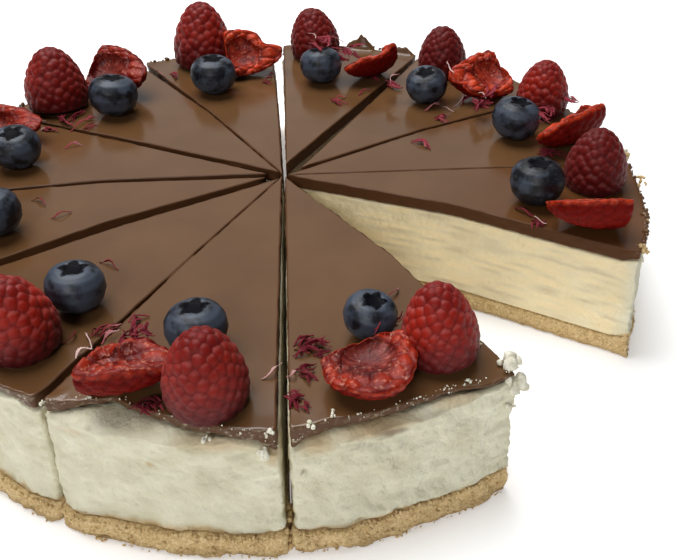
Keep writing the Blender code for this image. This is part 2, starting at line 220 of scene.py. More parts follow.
def gridFaces(count, around):
    # rows run from pole to pole and columns go round; the two poles come after the grid
    ring = np.arange(around)
    after = np.roll(ring, -1)
    first = np.arange(count - 1)[:, None] * around
    quads = np.stack([first + ring, first + after, first + around + after, first + around + ring], axis=-1)
    low = np.stack([np.full(around, count * around), after, ring], axis=-1)
    last = (count - 1) * around
    high = np.stack([np.full(around, count * around + 1), last + ring, last + after], axis=-1)
    return quads.reshape(-1, 4), np.concatenate([low, high])


def withPoles(grid):
    # the grid's points in one row, then the middles of its first and its last ring
    return np.concatenate([grid.reshape(-1, *grid.shape[2:]), grid[[0, -1]].mean(axis=1)])


def gridPiece(name, rows, values, material):
    quads, tris = gridFaces(*rows.shape[:2])
    closed = {key: withPoles(value) for key, value in values.items()}
    return makePiece(name, withPoles(rows), quads, tris, closed, material)


def gridNormals(rows):
    # cross product of the steps around and along
    along = np.gradient(rows, axis=0)
    around = np.roll(rows, -1, axis=1) - np.roll(rows, 1, axis=1)
    normals = np.cross(around, along)
    return normals / (np.linalg.norm(normals, axis=-1, keepdims=True) + 1e-12)


# Materials

def addNode(tree, kind, inputs=(), **settings):
    made = tree.nodes.new("ShaderNode" + kind)
    for key, value in settings.items():
        setattr(made, key, value)
    for key, value in dict(inputs).items():
        if isinstance(value, bpy.types.NodeSocket):
            tree.links.new(value, made.inputs[key])
        else:
            made.inputs[key].default_value = value
    return made


def makeGroup(name, inputs, outputs):
    group = bpy.data.node_groups.new(name, "ShaderNodeTree")
    for key, kind, value in inputs:
        socket = group.interface.new_socket(name=key, in_out="INPUT", socket_type="NodeSocket" + kind)
        socket.default_value = value
    for key, kind in outputs:
        group.interface.new_socket(name=key, in_out="OUTPUT", socket_type="NodeSocket" + kind)
    return group, group.nodes.new("NodeGroupInput").outputs, group.nodes.new("NodeGroupOutput").inputs


def mixColours(tree, share, first, second):
    mix = addNode(tree, "Mix", {0: share, 6: first, 7: second}, data_type="RGBA")
    return mix.outputs[2]


def rangeOf(tree, value, low, high, lowest=0.0, highest=1.0):
    # value between low and high, carried over to lowest and highest
    inputs = {"Value": value, "From Min": low, "From Max": high, "To Min": lowest, "To Max": highest}
    return addNode(tree, "MapRange", inputs).outputs[0]


def mathOf(tree, operation, first, second):
    return addNode(tree, "Math", {0: first, 1: second}, operation=operation).outputs[0]


def attributeOf(tree, name):
    return addNode(tree, "Attribute", attribute_name=name).outputs["Fac"]


def foodMaterial(name, roughness):
    material = bpy.data.materials.new(name)
    material.use_nodes = True
    shader = material.node_tree.nodes["Principled BSDF"]
    shader.inputs["Roughness"].default_value = roughness
    return material, material.node_tree, shader


def paint(tree, shader, colour, normal):
    tree.links.new(colour, shader.inputs["Base Color"])
    tree.links.new(normal, shader.inputs["Normal"])


def setInputs(shader, settings):
    for key, value in settings.items():
        shader.inputs[key].default_value = value


# Grain group: soft noise of a size in metres as a mask, and the normal it gives
grainTree, grainIn, grainOut = makeGroup(
    "grain",
    [
        ("Scale", "Float", 900.0), ("Detail", "Float", 3.0), ("Strength", "Float", 0.3),
        ("Depth", "Float", 0.0004)
    ],
    [("Mask", "Float"), ("Normal", "Vector")],
)
grainPlace = addNode(grainTree, "TexCoord").outputs["Object"]
grainNoise = addNode(
    grainTree, "TexNoise", {"Vector": grainPlace, "Scale": grainIn["Scale"], "Detail": grainIn["Detail"]}
)
grainBump = addNode(
    grainTree, "Bump",
    {"Height": grainNoise.outputs["Fac"], "Strength": grainIn["Strength"], "Distance": grainIn["Depth"]}
)
grainTree.links.new(grainNoise.outputs["Fac"], grainOut["Mask"])
grainTree.links.new(grainBump.outputs["Normal"], grainOut["Normal"])


def addGrain(tree, scale, strength=0.3, depth=0.0004, detail=3.0):
    made = tree.nodes.new("ShaderNodeGroup")
    made.node_tree = grainTree
    for key, value in (("Scale", scale), ("Strength", strength), ("Depth", depth), ("Detail", detail)):
        made.inputs[key].default_value = value
    return made.outputs["Mask"], made.outputs["Normal"]


crustMaterial, tree, shader = foodMaterial("crumb crust", 0.9)
coarse = addGrain(tree, 420.0)[0]
fine, normal = addGrain(tree, 1500.0, 0.6, 0.0005, 4.0)
colour = mixColours(tree, rangeOf(tree, coarse, 0.35, 0.65), (0.52, 0.345, 0.145, 1), (0.66, 0.480, 0.235, 1))
colour = mixColours(tree, rangeOf(tree, fine, 0.50, 0.72), colour, (0.78, 0.62, 0.35, 1))
colour = mixColours(tree, rangeOf(tree, fine, 0.44, 0.30), colour, (0.34, 0.215, 0.085, 1))
colour = mixColours(tree, attributeOf(tree, "foot"), colour, (0.30, 0.190, 0.075, 1))
paint(tree, shader, colour, normal)

fillingMaterial, tree, shader = foodMaterial("cream filling", 0.62)
coarse = addGrain(tree, 110.0)[0]
fine, normal = addGrain(tree, 480.0, 0.9, 0.0010, 5.0)
colour = mixColours(
    tree, rangeOf(tree, coarse, 0.30, 0.70), (0.605, 0.568, 0.395, 1), (0.755, 0.727, 0.56, 1)
)
colour = mixColours(tree, rangeOf(tree, fine, 0.36, 0.22, 0.0, 0.5), colour, (0.50, 0.45, 0.29, 1))
smear = rangeOf(tree, coarse, 0.30, 0.70, 0.75, 1.0)
stain = mathOf(tree, "MULTIPLY", smear, attributeOf(tree, "tan"))
colour = mixColours(tree, stain, colour, (0.47, 0.31, 0.14, 1))
# painted light: the cut faces ('cut') get a warm tan, partly the cut cream's own colour and partly painted warm
# reflected light, strongest on the face by the open slot
colour = mixColours(tree, attributeOf(tree, "cut"), colour, (0.95, 0.77, 0.45, 1))
colour = mixColours(tree, attributeOf(tree, "choc"), colour, (0.16, 0.085, 0.045, 1))
colour = mixColours(
    tree, attributeOf(tree, "crumb"), colour,
    mixColours(tree, rangeOf(tree, fine, 0.35, 0.60), (0.47, 0.31, 0.13, 1), (0.64, 0.47, 0.23, 1))
)
paint(tree, shader, colour, normal)
setInputs(
    shader, {"Subsurface Weight": 0.12, "Subsurface Radius": (1.0, 0.8, 0.5), "Subsurface Scale": 0.002}
)

glazeMaterial, tree, shader = foodMaterial("chocolate glaze", 0.36)
coarse = addGrain(tree, 45.0)[0]
fine, normal = addGrain(tree, 120.0, 0.035, 0.0006, 3.0)
colour = mixColours(
    tree, rangeOf(tree, coarse, 0.35, 0.65), (0.116, 0.055, 0.0215, 1), (0.136, 0.066, 0.0265, 1)
)
# painted shade: the first slice's glaze is painted darker towards its outside ('deep'), standing in for shade and
# a dim reflection there
colour = mixColours(tree, attributeOf(tree, "deep"), colour, (0.110, 0.044, 0.015, 1))
# painted shade: the walls, the cut lips and the pulled-up rim ('side') are painted darker, with less sheen
colour = mixColours(tree, attributeOf(tree, "side"), colour, (0.085, 0.034, 0.013, 1))
streak = addGrain(tree, 800.0, 0.3, 0.0004, 5.0)[0]
smear = mathOf(tree, "MULTIPLY", rangeOf(tree, streak, 0.54, 0.70, 0.0, 0.8), attributeOf(tree, "smear"))
colour = mixColours(tree, smear, colour, (0.50, 0.44, 0.31, 1))
paint(tree, shader, colour, normal)
dull = mixColours(
    tree, attributeOf(tree, "side"), rangeOf(tree, fine, 0.3, 0.7, 0.13, 0.20), (0.55, 0.55, 0.55, 1)
)
tree.links.new(dull, shader.inputs["Roughness"])
gleam = mixColours(
    tree, attributeOf(tree, "side"), rangeOf(tree, attributeOf(tree, "deep"), 0.0, 1.0, 0.45, 0.25),
    (0.10, 0.10, 0.10, 1)
)
tree.links.new(gleam, shader.inputs["Specular IOR Level"])

raspberryMaterial, tree, shader = foodMaterial("raspberry skin", 0.46)
shader.inputs["Specular IOR Level"].default_value = 0.14
normal = addGrain(tree, 1500.0, 0.3, 0.0002, 2.0)[1]
coarse = addGrain(tree, 240.0, 0.3, 0.0004, 2.0)[0]
rise = attributeOf(tree, "rise")
# painted shade: the skin is painted darker in the creases and lighter on the drupelets' caps ('rise')
colour = mixColours(
    tree, rangeOf(tree, rise, 0.0, 0.5), (0.085, 0.0045, 0.0040, 1), (0.150, 0.0070, 0.0050, 1)
)
colour = mixColours(tree, rangeOf(tree, rise, 0.5, 1.0), colour, (0.200, 0.0080, 0.0050, 1))
# painted light: the upper middle is painted a brighter orange-red ('glow')
colour = mixColours(tree, attributeOf(tree, "glow"), colour, (0.42, 0.020, 0.007, 1))
# painted highlight: 'bloom' here is a pale pink painted on the upper side of each drupelet ('ring'), where light
# from above catches the fuzz
bloom = mathOf(tree, "MULTIPLY", attributeOf(tree, "ring"), rangeOf(tree, coarse, 0.35, 0.65, 0.12, 0.55))
colour = mixColours(tree, bloom, colour, (0.42, 0.100, 0.090, 1))
colour = mixColours(tree, attributeOf(tree, "shade"), colour, (0.050, 0.0040, 0.0050, 1))
paint(tree, shader, colour, normal)
setInputs(shader, {"Sheen Weight": 0.12, "Sheen Roughness": 0.4, "Sheen Tint": (0.95, 0.45, 0.42, 1.0)})
setInputs(
    shader, {"Subsurface Weight": 0.2, "Subsurface Radius": (1.0, 0.25, 0.2), "Subsurface Scale": 0.0012}
)

# Cut flesh: orange-red lobes, a hairy core with pale fibres, and skin behind
fleshMaterial, tree, shader = foodMaterial("raspberry flesh", 0.26)
fine, normal = addGrain(tree, 1000.0, 0.5, 0.0004, 3.0)
rise = attributeOf(tree, "rise")
skin = mixColours(tree, rangeOf(tree, rise, 0.0, 0.6), (0.055, 0.0025, 0.0020, 1), (0.150, 0.0050, 0.0028, 1))
# painted shade: the cut lobes are painted bright on their caps and dark between them ('rise')
lobes = mixColours(
    tree, rangeOf(tree, rise, 0.2, 0.9), (0.170, 0.0070, 0.0035, 1), (0.600, 0.0480, 0.0100, 1)
)
lobes = mixColours(tree, rangeOf(tree, fine, 0.56, 0.68, 0.0, 0.4), lobes, (0.780, 0.3000, 0.1800, 1))
colour = mixColours(tree, attributeOf(tree, "lobe"), skin, lobes)
# the core's colour: pale fibres of its own, and painted light that makes the hollow lighter on its raised knots
# and darker between them
core = mixColours(
    tree, rangeOf(tree, rise, 0.25, 0.75), (0.070, 0.0060, 0.0055, 1), (0.240, 0.0400, 0.0300, 1)
)
core = mixColours(tree, rangeOf(tree, rise, 0.70, 0.95, 0.0, 0.7), core, (0.450, 0.1900, 0.1400, 1))
core = mixColours(tree, rangeOf(tree, fine, 0.62, 0.72, 0.0, 0.6), core, (0.520, 0.3000, 0.2300, 1))
colour = mixColours(tree, attributeOf(tree, "hollow"), colour, core)
paint(tree, shader, colour, normal)
tree.links.new(rangeOf(tree, attributeOf(tree, "lobe"), 0.0, 1.0, 0.5, 0.40), shader.inputs["Roughness"])
tree.links.new(
    rangeOf(tree, attributeOf(tree, "lobe"), 0.0, 1.0, 0.04, 0.20), shader.inputs["Specular IOR Level"]
)
setInputs(
    shader, {"Subsurface Weight": 0.25, "Subsurface Radius": (1.0, 0.3, 0.2), "Subsurface Scale": 0.0015}
)

blueberryMaterial, tree, shader = foodMaterial("blueberry skin", 0.45)
tree.links.new(
    rangeOf(tree, attributeOf(tree, "crown"), 0.0, 1.0, 0.35, 0.04), shader.inputs["Specular IOR Level"]
)
coarse = addGrain(tree, 210.0, 0.2, 0.0003, 6.0)[0]
fine, normal = addGrain(tree, 900.0, 0.12, 0.0002, 3.0)
bloom = mathOf(tree, "ADD", coarse, attributeOf(tree, "frost"))
colour = mixColours(
    tree, rangeOf(tree, bloom, 0.43, 0.60), (0.0045, 0.0052, 0.0085, 1), (0.050, 0.064, 0.090, 1)
)
colour = mixColours(tree, rangeOf(tree, fine, 0.60, 0.76, 0.0, 0.5), colour, (0.075, 0.090, 0.112, 1))
# the crown's dark star: partly its own colour, partly painted shade of the recess
colour = mixColours(tree, attributeOf(tree, "crown"), colour, (0.0035, 0.0035, 0.0055, 1))
paint(tree, shader, colour, normal)
print("materials made")

# Heights and edges of the layers, the same formulas as the solids
edges = {
    "crustSlant": 0.0018,
    "thickSide": -15.0,
    "crustWave": 0.0008,
    "crustCrag": 0.0012,
    "swell": 0.0020,
    "swellAt": 246.0,
    "swellWidth": 50.0,
    "ragged": 0.0008,
    "raggedSize": 0.005,
    "cragSize": 0.009,
    "setback": 0.0007,
    "lump": 0.0005,
    "lumpSize": 0.014,
    "rise": 0.0012,
    "wave": 0.0010,
    "lip": 0.0009,
    "drop": 0.25,
    "leastDrop": 0.0004,
    "runWidth": 0.010,
}
glazeRuns = [(27.0, 0.0020), (91.0, 0.0024), (152.0, 0.0030), (199.0, 0.0026)]
# direction, how far the glaze stops short of the rim, how high the filling stands under it
frontEdge = [
    (238.0, 0.0003, 0.0012),
    (241.4, 0.0005, 0.0004),
    (246.0, 0.0049, 0.0022),
    (249.1, 0.0078, 0.0024),
    (253.0, 0.0056, 0.0021),
    (259.4, 0.0030, 0.0012),
    (263.7, 0.0008, 0.0016),
    (266.8, 0.0006, 0.0004),
    (269.4, 0.0003, -0.0040),
    (272.0, 0.0014, -0.0002),
    (275.0, 0.0030, 0.0009),
    (280.0, 0.0030, 0.0014),
    (289.6, 0.0034, 0.0025),
    (294.0, 0.0008, 0.0030),
    (298.0, 0.0003, 0.0030),
]
tableSteps = np.arange(0.0, 360.0, 0.5)


def noiseTable(size, offset):
    ring = polarPoints(cake["radius"], tableSteps) / size
    return np.array([noise.noise(Vector((x, y, offset))) for x, y in ring])


waveTables = {seed: 1.6 * noiseTable(cake["waveSize"], 7.3 * seed) for seed in (1, 2, 3, 4)}
cragHeights = (0.0, 0.0015, 0.0034, 0.0064)
cragTables = [noiseTable(edges["cragSize"], 300.0 * z) for z in cragHeights]
lumpHeights = (0.016, 0.025, cake["fillingTop"])
lumpTables = [noiseTable(edges["lumpSize"], 90.0 * z) for z in lumpHeights]


def waveAt(degrees, seed):
    return np.interp(degrees, tableSteps, waveTables[seed], period=360.0)


def tablesAt(degrees, z, heights, tables):
    # straight blend between the tables of neighbouring heights
    values = [np.interp(degrees, tableSteps, table, period=360.0) for table in tables]
    total = 0.0
    for k, value in enumerate(values):
        marks = [0.0] * len(heights)
        marks[k] = 1.0
        total = total + value * np.interp(z, heights, marks)
    return total


def nearness(degrees, direction, width):
    away = np.radians(np.abs(turnBetween(degrees, direction))) * cake["radius"]
    return np.maximum(0.0, 1.0 - away / width) ** 2


def edgeFacts(degrees):
    rise = edges["rise"] + edges["wave"] * waveAt(degrees, 2)
    for direction, depth in glazeRuns:
        rise = rise - depth * nearness(degrees, direction, edges["runWidth"])
    marks, shorts, rises = np.array(frontEdge).T
    inFront = (degrees >= marks[0]) & (degrees <= marks[-1])
    short = np.where(inFront, np.interp(degrees, marks, shorts), shorts[0])
    return short, np.where(inFront, np.interp(degrees, marks, rises), rise)


def wallRadius(z):
    return cake["radius"] + cake["footSpread"] * (1.0 - z / cake["height"])


def crustSwell(degrees):
    # s (1 - (a/w)^2) at the angle a from the middle of the swelling
    away = turnBetween(degrees, edges["swellAt"]) / edges["swellWidth"]
    return edges["swell"] * np.clip(1.0 - away ** 2, 0.0, 1.0)


def crustRim(degrees, z):
    crags = edges["crustCrag"] * tablesAt(degrees, z, cragHeights, cragTables)
    return wallRadius(z) + crustSwell(degrees) + crags


def fillingRim(degrees, z):
    foot = crustRim(degrees, np.full_like(z, cake["crustHeight"])) - 0.8 * crustSwell(degrees)
    wall = wallRadius(z) - edges["setback"] + edges["lump"] * tablesAt(degrees, z, lumpHeights, lumpTables)
    share = smoothStep(z, cake["crustHeight"], 0.016)
    return foot + (wall - foot) * share


def glazeEdge(degrees):
    return cake["radius"] - edgeFacts(degrees)[0] + 0.0004 * waveAt(degrees, 3)


def tableTop(places):
    return np.zeros(places.shape[:-1])


def crustTop(places):
    degrees = directionOf(places)
    atRim = bandShare(radiusOf(places), cake["radius"])
    slant = edges["crustSlant"] * np.cos(np.radians(degrees - edges["thickSide"]))
    ring = withHeight(polarPoints(cake["radius"], degrees), np.zeros(degrees.shape))
    ragged = edges["ragged"] * roughness(ring, edges["raggedSize"], 71, 3)
    raised = (slant + edges["crustWave"] * waveAt(degrees, 1)) * atRim
    return cake["crustHeight"] + raised + ragged * atRim ** 4


def fillingBottom(places):
    return crustTop(places) + cake["layerGap"]


def fillingTop(places):
    # rises across the band to the glaze's edge, then falls again to the side
    degrees = directionOf(places)
    radius = radiusOf(places)
    short, rise = edgeFacts(degrees)
    edge = glazeEdge(degrees)
    across = bandShare(radius, edge)
    room = np.maximum(cake["radius"] - edge, cake["layerGap"])
    beyond = np.clip((radius - edge) / room, 0.0, 1.0)
    return cake["fillingTop"] + rise * across - (edges["leastDrop"] + edges["drop"] * short) * beyond


def glazeBottom(places):
    degrees = directionOf(places)
    across = bandShare(radiusOf(places), glazeEdge(degrees))
    gap = cake["layerGap"] + (cake["edgeGap"] - cake["layerGap"]) * across
    return cake["fillingTop"] + gap + edgeFacts(degrees)[1] * across


def glazeTop(places):
    degrees = directionOf(places)
    across = bandShare(radiusOf(places), glazeEdge(degrees))
    lip = edges["lip"] * (0.7 + waveAt(degrees, 4)) - 0.3 * edgeFacts(degrees)[0]
    return cake["height"] + np.maximum(0.0, lip) * smoothStep(across, 0.0, 1.0)


# Outlines of the slices

layering = {
    "crowding": 1.35,
    "corner": (0.006, 0.002),  # where the rounding of the corners starts and is full, from the rim
    "cornerBlur": 4,
    "normalBlur": 14,
    "leastNormal": 0.3,
    "bunched": 0.45,  # share of the rows' spacing that crowds towards the edges, and the even share
    "even": 0.55,
    "tipShare": 0.12,  # the most that an edge is rounded, by the distance from the tip
    "capMiddle": 0.62,
    "capScales": [0.1, 0.2, 0.3, 0.4, 0.5, 0.6, 0.7, 0.78, 0.84, 0.885, 0.915, 0.94, 0.96, 0.975, 0.988],
}


def cutPoints(cut, side, distances):
    # direction and width change evenly halfway out and again to the rim
    middle, rim, tipWidth, middleWidth, rimWidth = cut
    share = 2.0 * np.asarray(distances) / cake["radius"]
    inner, outer = np.clip(share, 0.0, 1.0), np.clip(share - 1.0, 0.0, 1.0)
    direction = middle + (rim - middle) * outer
    width = tipWidth + (middleWidth - tipWidth) * inner + (rimWidth - middleWidth) * outer
    across = polarPoints(1.0, direction + 90.0) * side
    return polarPoints(np.asarray(distances), direction) + across * width[:, None] / 2.0


def crossing(a, b, c, d):
    # where the lines ab and cd meet
    one, other = b - a, d - c
    share = ((c - a)[0] * other[1] - (c - a)[1] * other[0]) / (one[0] * other[1] - one[1] * other[0])
    return a + one * share


def resample(path, step, crowding):
    # points along a path that stand closer to its end, u^crowding of the way from there
    lengths = np.concatenate([[0.0], np.cumsum(np.hypot(*np.diff(path, axis=0).T))])
    count = int(lengths[-1] / step)
    along = lengths[-1] * (1.0 - (1.0 - np.arange(count) / count) ** crowding)
    return np.stack([np.interp(along, lengths, path[:, k]) for k in (0, 1)], axis=-1)


def narrowed(number, layer):
    # crust and cream stand closer together than the glaze above, as shares of the gap
    middle, rim, tipWidth, middleWidth, rimWidth = cuts[number]
    if layer == glazeLayer:
        share = glazeGaps.get(number, 1.0)
        return middle, rim, tipWidth * share, middleWidth * share, rimWidth
    share = lowGaps.get(number, (1.0, 1.0))[layer]
    return middle, rim, tipWidth, middleWidth * share, rimWidth * share


def sliceOutline(index, firstStep, rimStep, secondStep, layer):
    first, second = (narrowed(number, layer) for number in (index, index + 1))
    stations = np.array([0.0, cake["radius"] / 2.0, cake["radius"] - cake["band"], cake["radius"]])
    near = cutPoints(first, 1, stations)
    far = cutPoints(second, -1, stations)
    tip = crossing(near[0], near[1], far[0], far[1])
    near[0] = far[0] = tip
    start, end = directionOf(near[-1]), directionOf(far[-1])
    sweep = (end - start) % 360.0
    count = int(np.radians(sweep) * cake["radius"] / rimStep)
    rim = polarPoints(cake["radius"], start + sweep * np.arange(count + 1) / count)
    near[-1], far[-1] = rim[0], rim[-1]
    first = resample(near, firstStep, layering["crowding"])
    second = resample(far, secondStep, layering["crowding"])[1:][::-1]
    outline = np.concatenate([first, rim, second])
    corner = [cake["radius"] - short for short in layering["corner"]]
    atCorner = smoothStep(np.hypot(*outline.T), *corner)[:, None]
    return blurLoop(outline, layering["cornerBlur"], atCorner)


def blurLoop(loop, times, share=1.0):
    # each time a point moves by its share towards (before + 2 here + after) / 4
    for turn in range(times):
        blurred = (np.roll(loop, 1, axis=0) + 2.0 * loop + np.roll(loop, -1, axis=0)) / 4.0
        loop = loop + (blurred - loop) * share
    return loop


def outlineNormals(outline):
    step = np.roll(outline, -1, axis=0) - np.roll(outline, 1, axis=0)
    sideways = np.stack([step[:, 1], -step[:, 0]], axis=-1) / np.linalg.norm(step, axis=-1, keepdims=True)
    normals = blurLoop(sideways, layering["normalBlur"])
    return normals / np.maximum(np.linalg.norm(normals, axis=-1, keepdims=True), layering["leastNormal"])


def layerRows(outline, lowSurface, highSurface, rimAt, wallCount, rounding):
    # wall rows of share t: z = low + (high - low) t, moved to rimAt(direction, z) near the rim
    # and in by r (1 - sqrt(1 - (1 - d/r)^2)) at depth d < r from either edge; the caps shrink
    # the last row about the slice's middle
    degrees = directionOf(outline)
    radius = np.hypot(*outline.T)
    atRim = bandShare(radius, cake["radius"])
    even = np.linspace(0.0, 1.0, wallCount)
    share = layering["bunched"] * (1.0 - np.cos(np.pi * even)) / 2.0 + layering["even"] * even
    low, high = lowSurface(outline), highSurface(outline)
    z = low + (high - low) * share[:, None]
    away = np.minimum(z - low, high - z)
    inward = rounding * (1.0 - np.sqrt(1.0 - np.clip(1.0 - away / rounding, 0.0, 1.0) ** 2))
    reach = 1.0 + (rimAt(degrees[None, :], z) - cake["radius"]) * atRim / radius
    inward = np.minimum(inward, layering["tipShare"] * np.linalg.norm(outline - outline[0], axis=-1))
    plan = outline * reach[..., None] - outlineNormals(outline) * inward[..., None]
    wall = withHeight(plan, z)
    aside = np.radians(degrees - directionOf(outline.mean(axis=0)))
    middle = layering["capMiddle"] * outline[np.argmax(np.cos(aside) * radius)]
    capCount = len(layering["capScales"])
    scales = np.array(layering["capScales"])[:, None, None]
    lowPlan = middle + (plan[0] - middle) * scales
    highPlan = (middle + (plan[-1] - middle) * scales)[::-1]
    lowCap = withHeight(lowPlan, lowSurface(lowPlan))
    highCap = withHeight(highPlan, highSurface(highPlan))
    wallShare = np.concatenate([np.zeros(capCount), share, np.ones(capCount)])
    return np.concatenate([lowCap, wall, highCap]), wallShare[:, None] * np.ones(len(outline)), atRim


def shiftOut(index, rows):
    # slices 3 and 4 stand further out
    middle = (cuts[index][1] + cuts[index + 1][1]) / 2.0
    rows = rows.copy()
    rows[..., :2] += polarPoints(cake["shifted"].get(index + 1, 0.0), middle)
    return rows


def reliefShare(atRim, atCut):
    # relief is full on the rim and has the share atCut on the cut sides
    return atCut + (1.0 - atCut) * atRim


def sideSteps(index, plain, fine):
    # the two faces of the slot that is left open are finer than the hidden sides
    return (fine if index == 0 else plain), (fine if index == cake["sliceCount"] - 1 else plain)


def finishPiece(piece, nodes):
    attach(piece, "root")
    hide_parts(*nodes)


# Crumb crust: pressed crumbs stand out as grains, more at the foot
crumbs = {
    "grain": 0.0005,
    "grainSize": 0.0016,
    "clod": 0.0006,
    "clodSize": 0.0045,
    "rounding": 0.0008,
    "cutRelief": 0.35,
    "footTop": 0.0022,
    "footShade": 0.75,
    "rimStep": 0.0006,
    "plainStep": 0.0026,
    "fineStep": 0.0009,
    "rows": 15,
}


def buildCrust(index):
    firstStep, secondStep = sideSteps(index, crumbs["plainStep"], crumbs["fineStep"])
    outline = sliceOutline(index, firstStep, crumbs["rimStep"], secondStep, crustLayer)
    rows, share, atRim = layerRows(outline, tableTop, crustTop, crustRim, crumbs["rows"], crumbs["rounding"])
    clods = crumbs["clod"] * roughness(rows, crumbs["clodSize"], 3, 2)
    lift = clods + crumbs["grain"] * roughness(rows, crumbs["grainSize"], 5, 2)
    wall = ((share > 0.0) & (share < 1.0)) * reliefShare(atRim, crumbs["cutRelief"])
    rows = rows + gridNormals(rows) * (lift * wall)[..., None]
    rows[..., 2] = np.maximum(rows[..., 2], 0.0)
    foot = smoothStep(rows[..., 2], crumbs["footTop"], 0.0) * crumbs["footShade"]
    piece = gridPiece(f"crustPiece_{index + 1:02d}", shiftOut(index, rows), {"foot": foot}, crustMaterial)
    finishPiece(piece, [f"crust_{index + 1:02d}"])


for index in range(cake["sliceCount"]):
    buildCrust(index)
print("crust done")

# Cream filling: lumps, pits and level drag marks, and chocolate drawn down from the glaze
cream = {
    "lump": 0.00050,
    "lumpSize": 0.006,
    "rough": 0.00042,
    "roughSize": 0.0024,
    "patchSize": 0.012,
    "drag": 0.00014,
    "dragSize": 0.006,
    "dragStretch": (1.0, 1.0, 5.0),  # drag marks and streaks are long sideways
    "streakSize": 0.009,
    "streakStretch": (1.0, 1.0, 7.0),
    "pit": 0.0003,
    "pitSize": 0.0035,
    "fleckSize": 0.004,
    "rounding": 0.0004,
    "cutRelief": 0.45,
    "crumbLine": 0.0010,  # how far crumbs of the crust reach up, and how much further at a mark
    "crumbReach": 0.0018,
    "crumbFade": 0.0003,
    # how much warm tan the cut faces get, hidden and open: partly their own colour, partly painted reflected
    # light
    "cutTanAndLight": 0.35,
    "openTanAndLight": 0.8,
    "smeared": (3, 4, 5, 6, 7),  # slices whose cuts are smeared with glaze
    "smearShade": 0.8,
    "rimStep": 0.0007,
    "plainStep": 0.0026,
    "fineStep": 0.0008,
    "rows": 56,
}
# direction, height, half width along the rim and in height, and how strong
tanMarks = [
    (262.0, 0.0352, 0.0130, 0.0032, 0.65),
    (254.0, 0.0362, 0.0080, 0.0020, 0.25),
    (268.2, 0.0330, 0.0030, 0.0060, 0.8),
    (273.0, 0.0345, 0.0060, 0.0045, 0.8),
    (280.0, 0.0358, 0.0120, 0.0028, 0.9),
    (290.0, 0.0372, 0.0080, 0.0018, 0.6),
    (245.0, 0.0325, 0.0050, 0.0018, 0.4),
    (254.1, 0.0269, 0.0013, 0.0012, 1.0),
]
chocMarks = [
    (281.5, 0.0338, 0.0055, 0.0024, 0.75),
    (277.0, 0.0322, 0.0040, 0.0012, 0.5),
    (286.5, 0.0354, 0.0055, 0.0014, 0.6),
    (292.3, 0.0380, 0.0040, 0.0010, 0.6),
    (271.4, 0.0264, 0.0006, 0.0006, 0.9),
    (247.4, 0.0352, 0.0010, 0.0005, 0.5),
]
crumbMarks = [
    (274.0, 0.0095, 0.0110, 0.0036, 1.6),
    (292.0, 0.0095, 0.0150, 0.0028, 1.4),
    (228.0, 0.0065, 0.0200, 0.0026, 1.4),
    (256.0, 0.0070, 0.0200, 0.0016, 1.2),
]
crumbMarkHeight = 0.0070


def markShare(degrees, z, marks):
    # each mark fades by 1 - (along/a)^2 - (up/b)^2
    total = np.zeros(np.broadcast(degrees, z).shape)
    for direction, height, along, up, strength in marks:
        away = np.radians(turnBetween(degrees, direction)) * cake["radius"] / along
        fade = np.clip(1.0 - away ** 2 - ((z - height) / up) ** 2, 0.0, 1.0)
        total = np.maximum(total, fade * strength)
    return total


def buildFilling(index):
    firstStep, secondStep = sideSteps(index, cream["plainStep"], cream["fineStep"])
    outline = sliceOutline(index, firstStep, cream["rimStep"], secondStep, creamLayer)
    rows, share, atRim = layerRows(
        outline, fillingBottom, fillingTop, fillingRim, cream["rows"], cream["rounding"]
    )
    level = rows * np.array(cream["dragStretch"])
    lift = cream["lump"] * roughness(rows, cream["lumpSize"], 11, 3)
    lift = lift + cream["drag"] * roughness(level, cream["dragSize"], 14, 2)
    lift = lift - cream["pit"] * smoothStep(latticeNoise(rows, cream["pitSize"], 17), 0.45, 0.9)
    patches = 0.8 + 0.7 * latticeNoise(rows, cream["patchSize"], 23)
    lift = lift + cream["rough"] * roughness(rows, cream["roughSize"], 19, 2) * patches
    wall = ((share > 0.02) & (share < 0.985)) * reliefShare(atRim, cream["cutRelief"])
    rows = rows + gridNormals(rows) * (lift * wall)[..., None]
    degrees = directionOf(rows)
    onRim = atRim[None, :] * np.ones_like(share)
    inCut = 1.0 - onRim
    tan = markShare(degrees, rows[..., 2], tanMarks) * onRim
    flecks = np.clip(0.6 + 1.2 * latticeNoise(level, cream["fleckSize"], 24), 0.0, 1.0)
    choc = markShare(degrees, rows[..., 2], chocMarks) * onRim * flecks
    # crumbs of the crust climb the cream's foot, higher at the marks
    ragged = 0.0006 * latticeNoise(rows, 0.0016, 27) + 0.0007 * latticeNoise(rows, 0.005, 28)
    above = rows[..., 2] - crustTop(rows) + ragged
    line = cream["crumbLine"] + cream["crumbReach"] * markShare(degrees, crumbMarkHeight, crumbMarks)
    crumb = onRim * smoothStep(above, line, cream["crumbFade"])
    # knife streaks on the cut faces, painted warm tan: partly the cream's own colour, partly painted reflected
    # light, most on the open slot's face
    streaks = latticeNoise(rows * np.array(cream["streakStretch"]), cream["streakSize"], 21)
    shade = cream["cutTanAndLight"] if index else cream["openTanAndLight"]
    cut = inCut * np.clip(0.75 + 0.5 * streaks, 0.0, 1.0) * shade
    tan = np.maximum(tan, inCut * np.clip(-0.9 * streaks - 0.1, 0.0, 0.6))
    choc = np.maximum(choc, cream["smearShade"] * inCut * (index in cream["smeared"]))
    values = {"tan": tan, "choc": choc, "cut": cut, "crumb": crumb}
    piece = gridPiece(f"fillingPiece_{index + 1:02d}", shiftOut(index, rows), values, fillingMaterial)
    finishPiece(piece, [f"filling_{index + 1:02d}"])


for index in range(cake["sliceCount"]):
    buildFilling(index)
print("filling done")

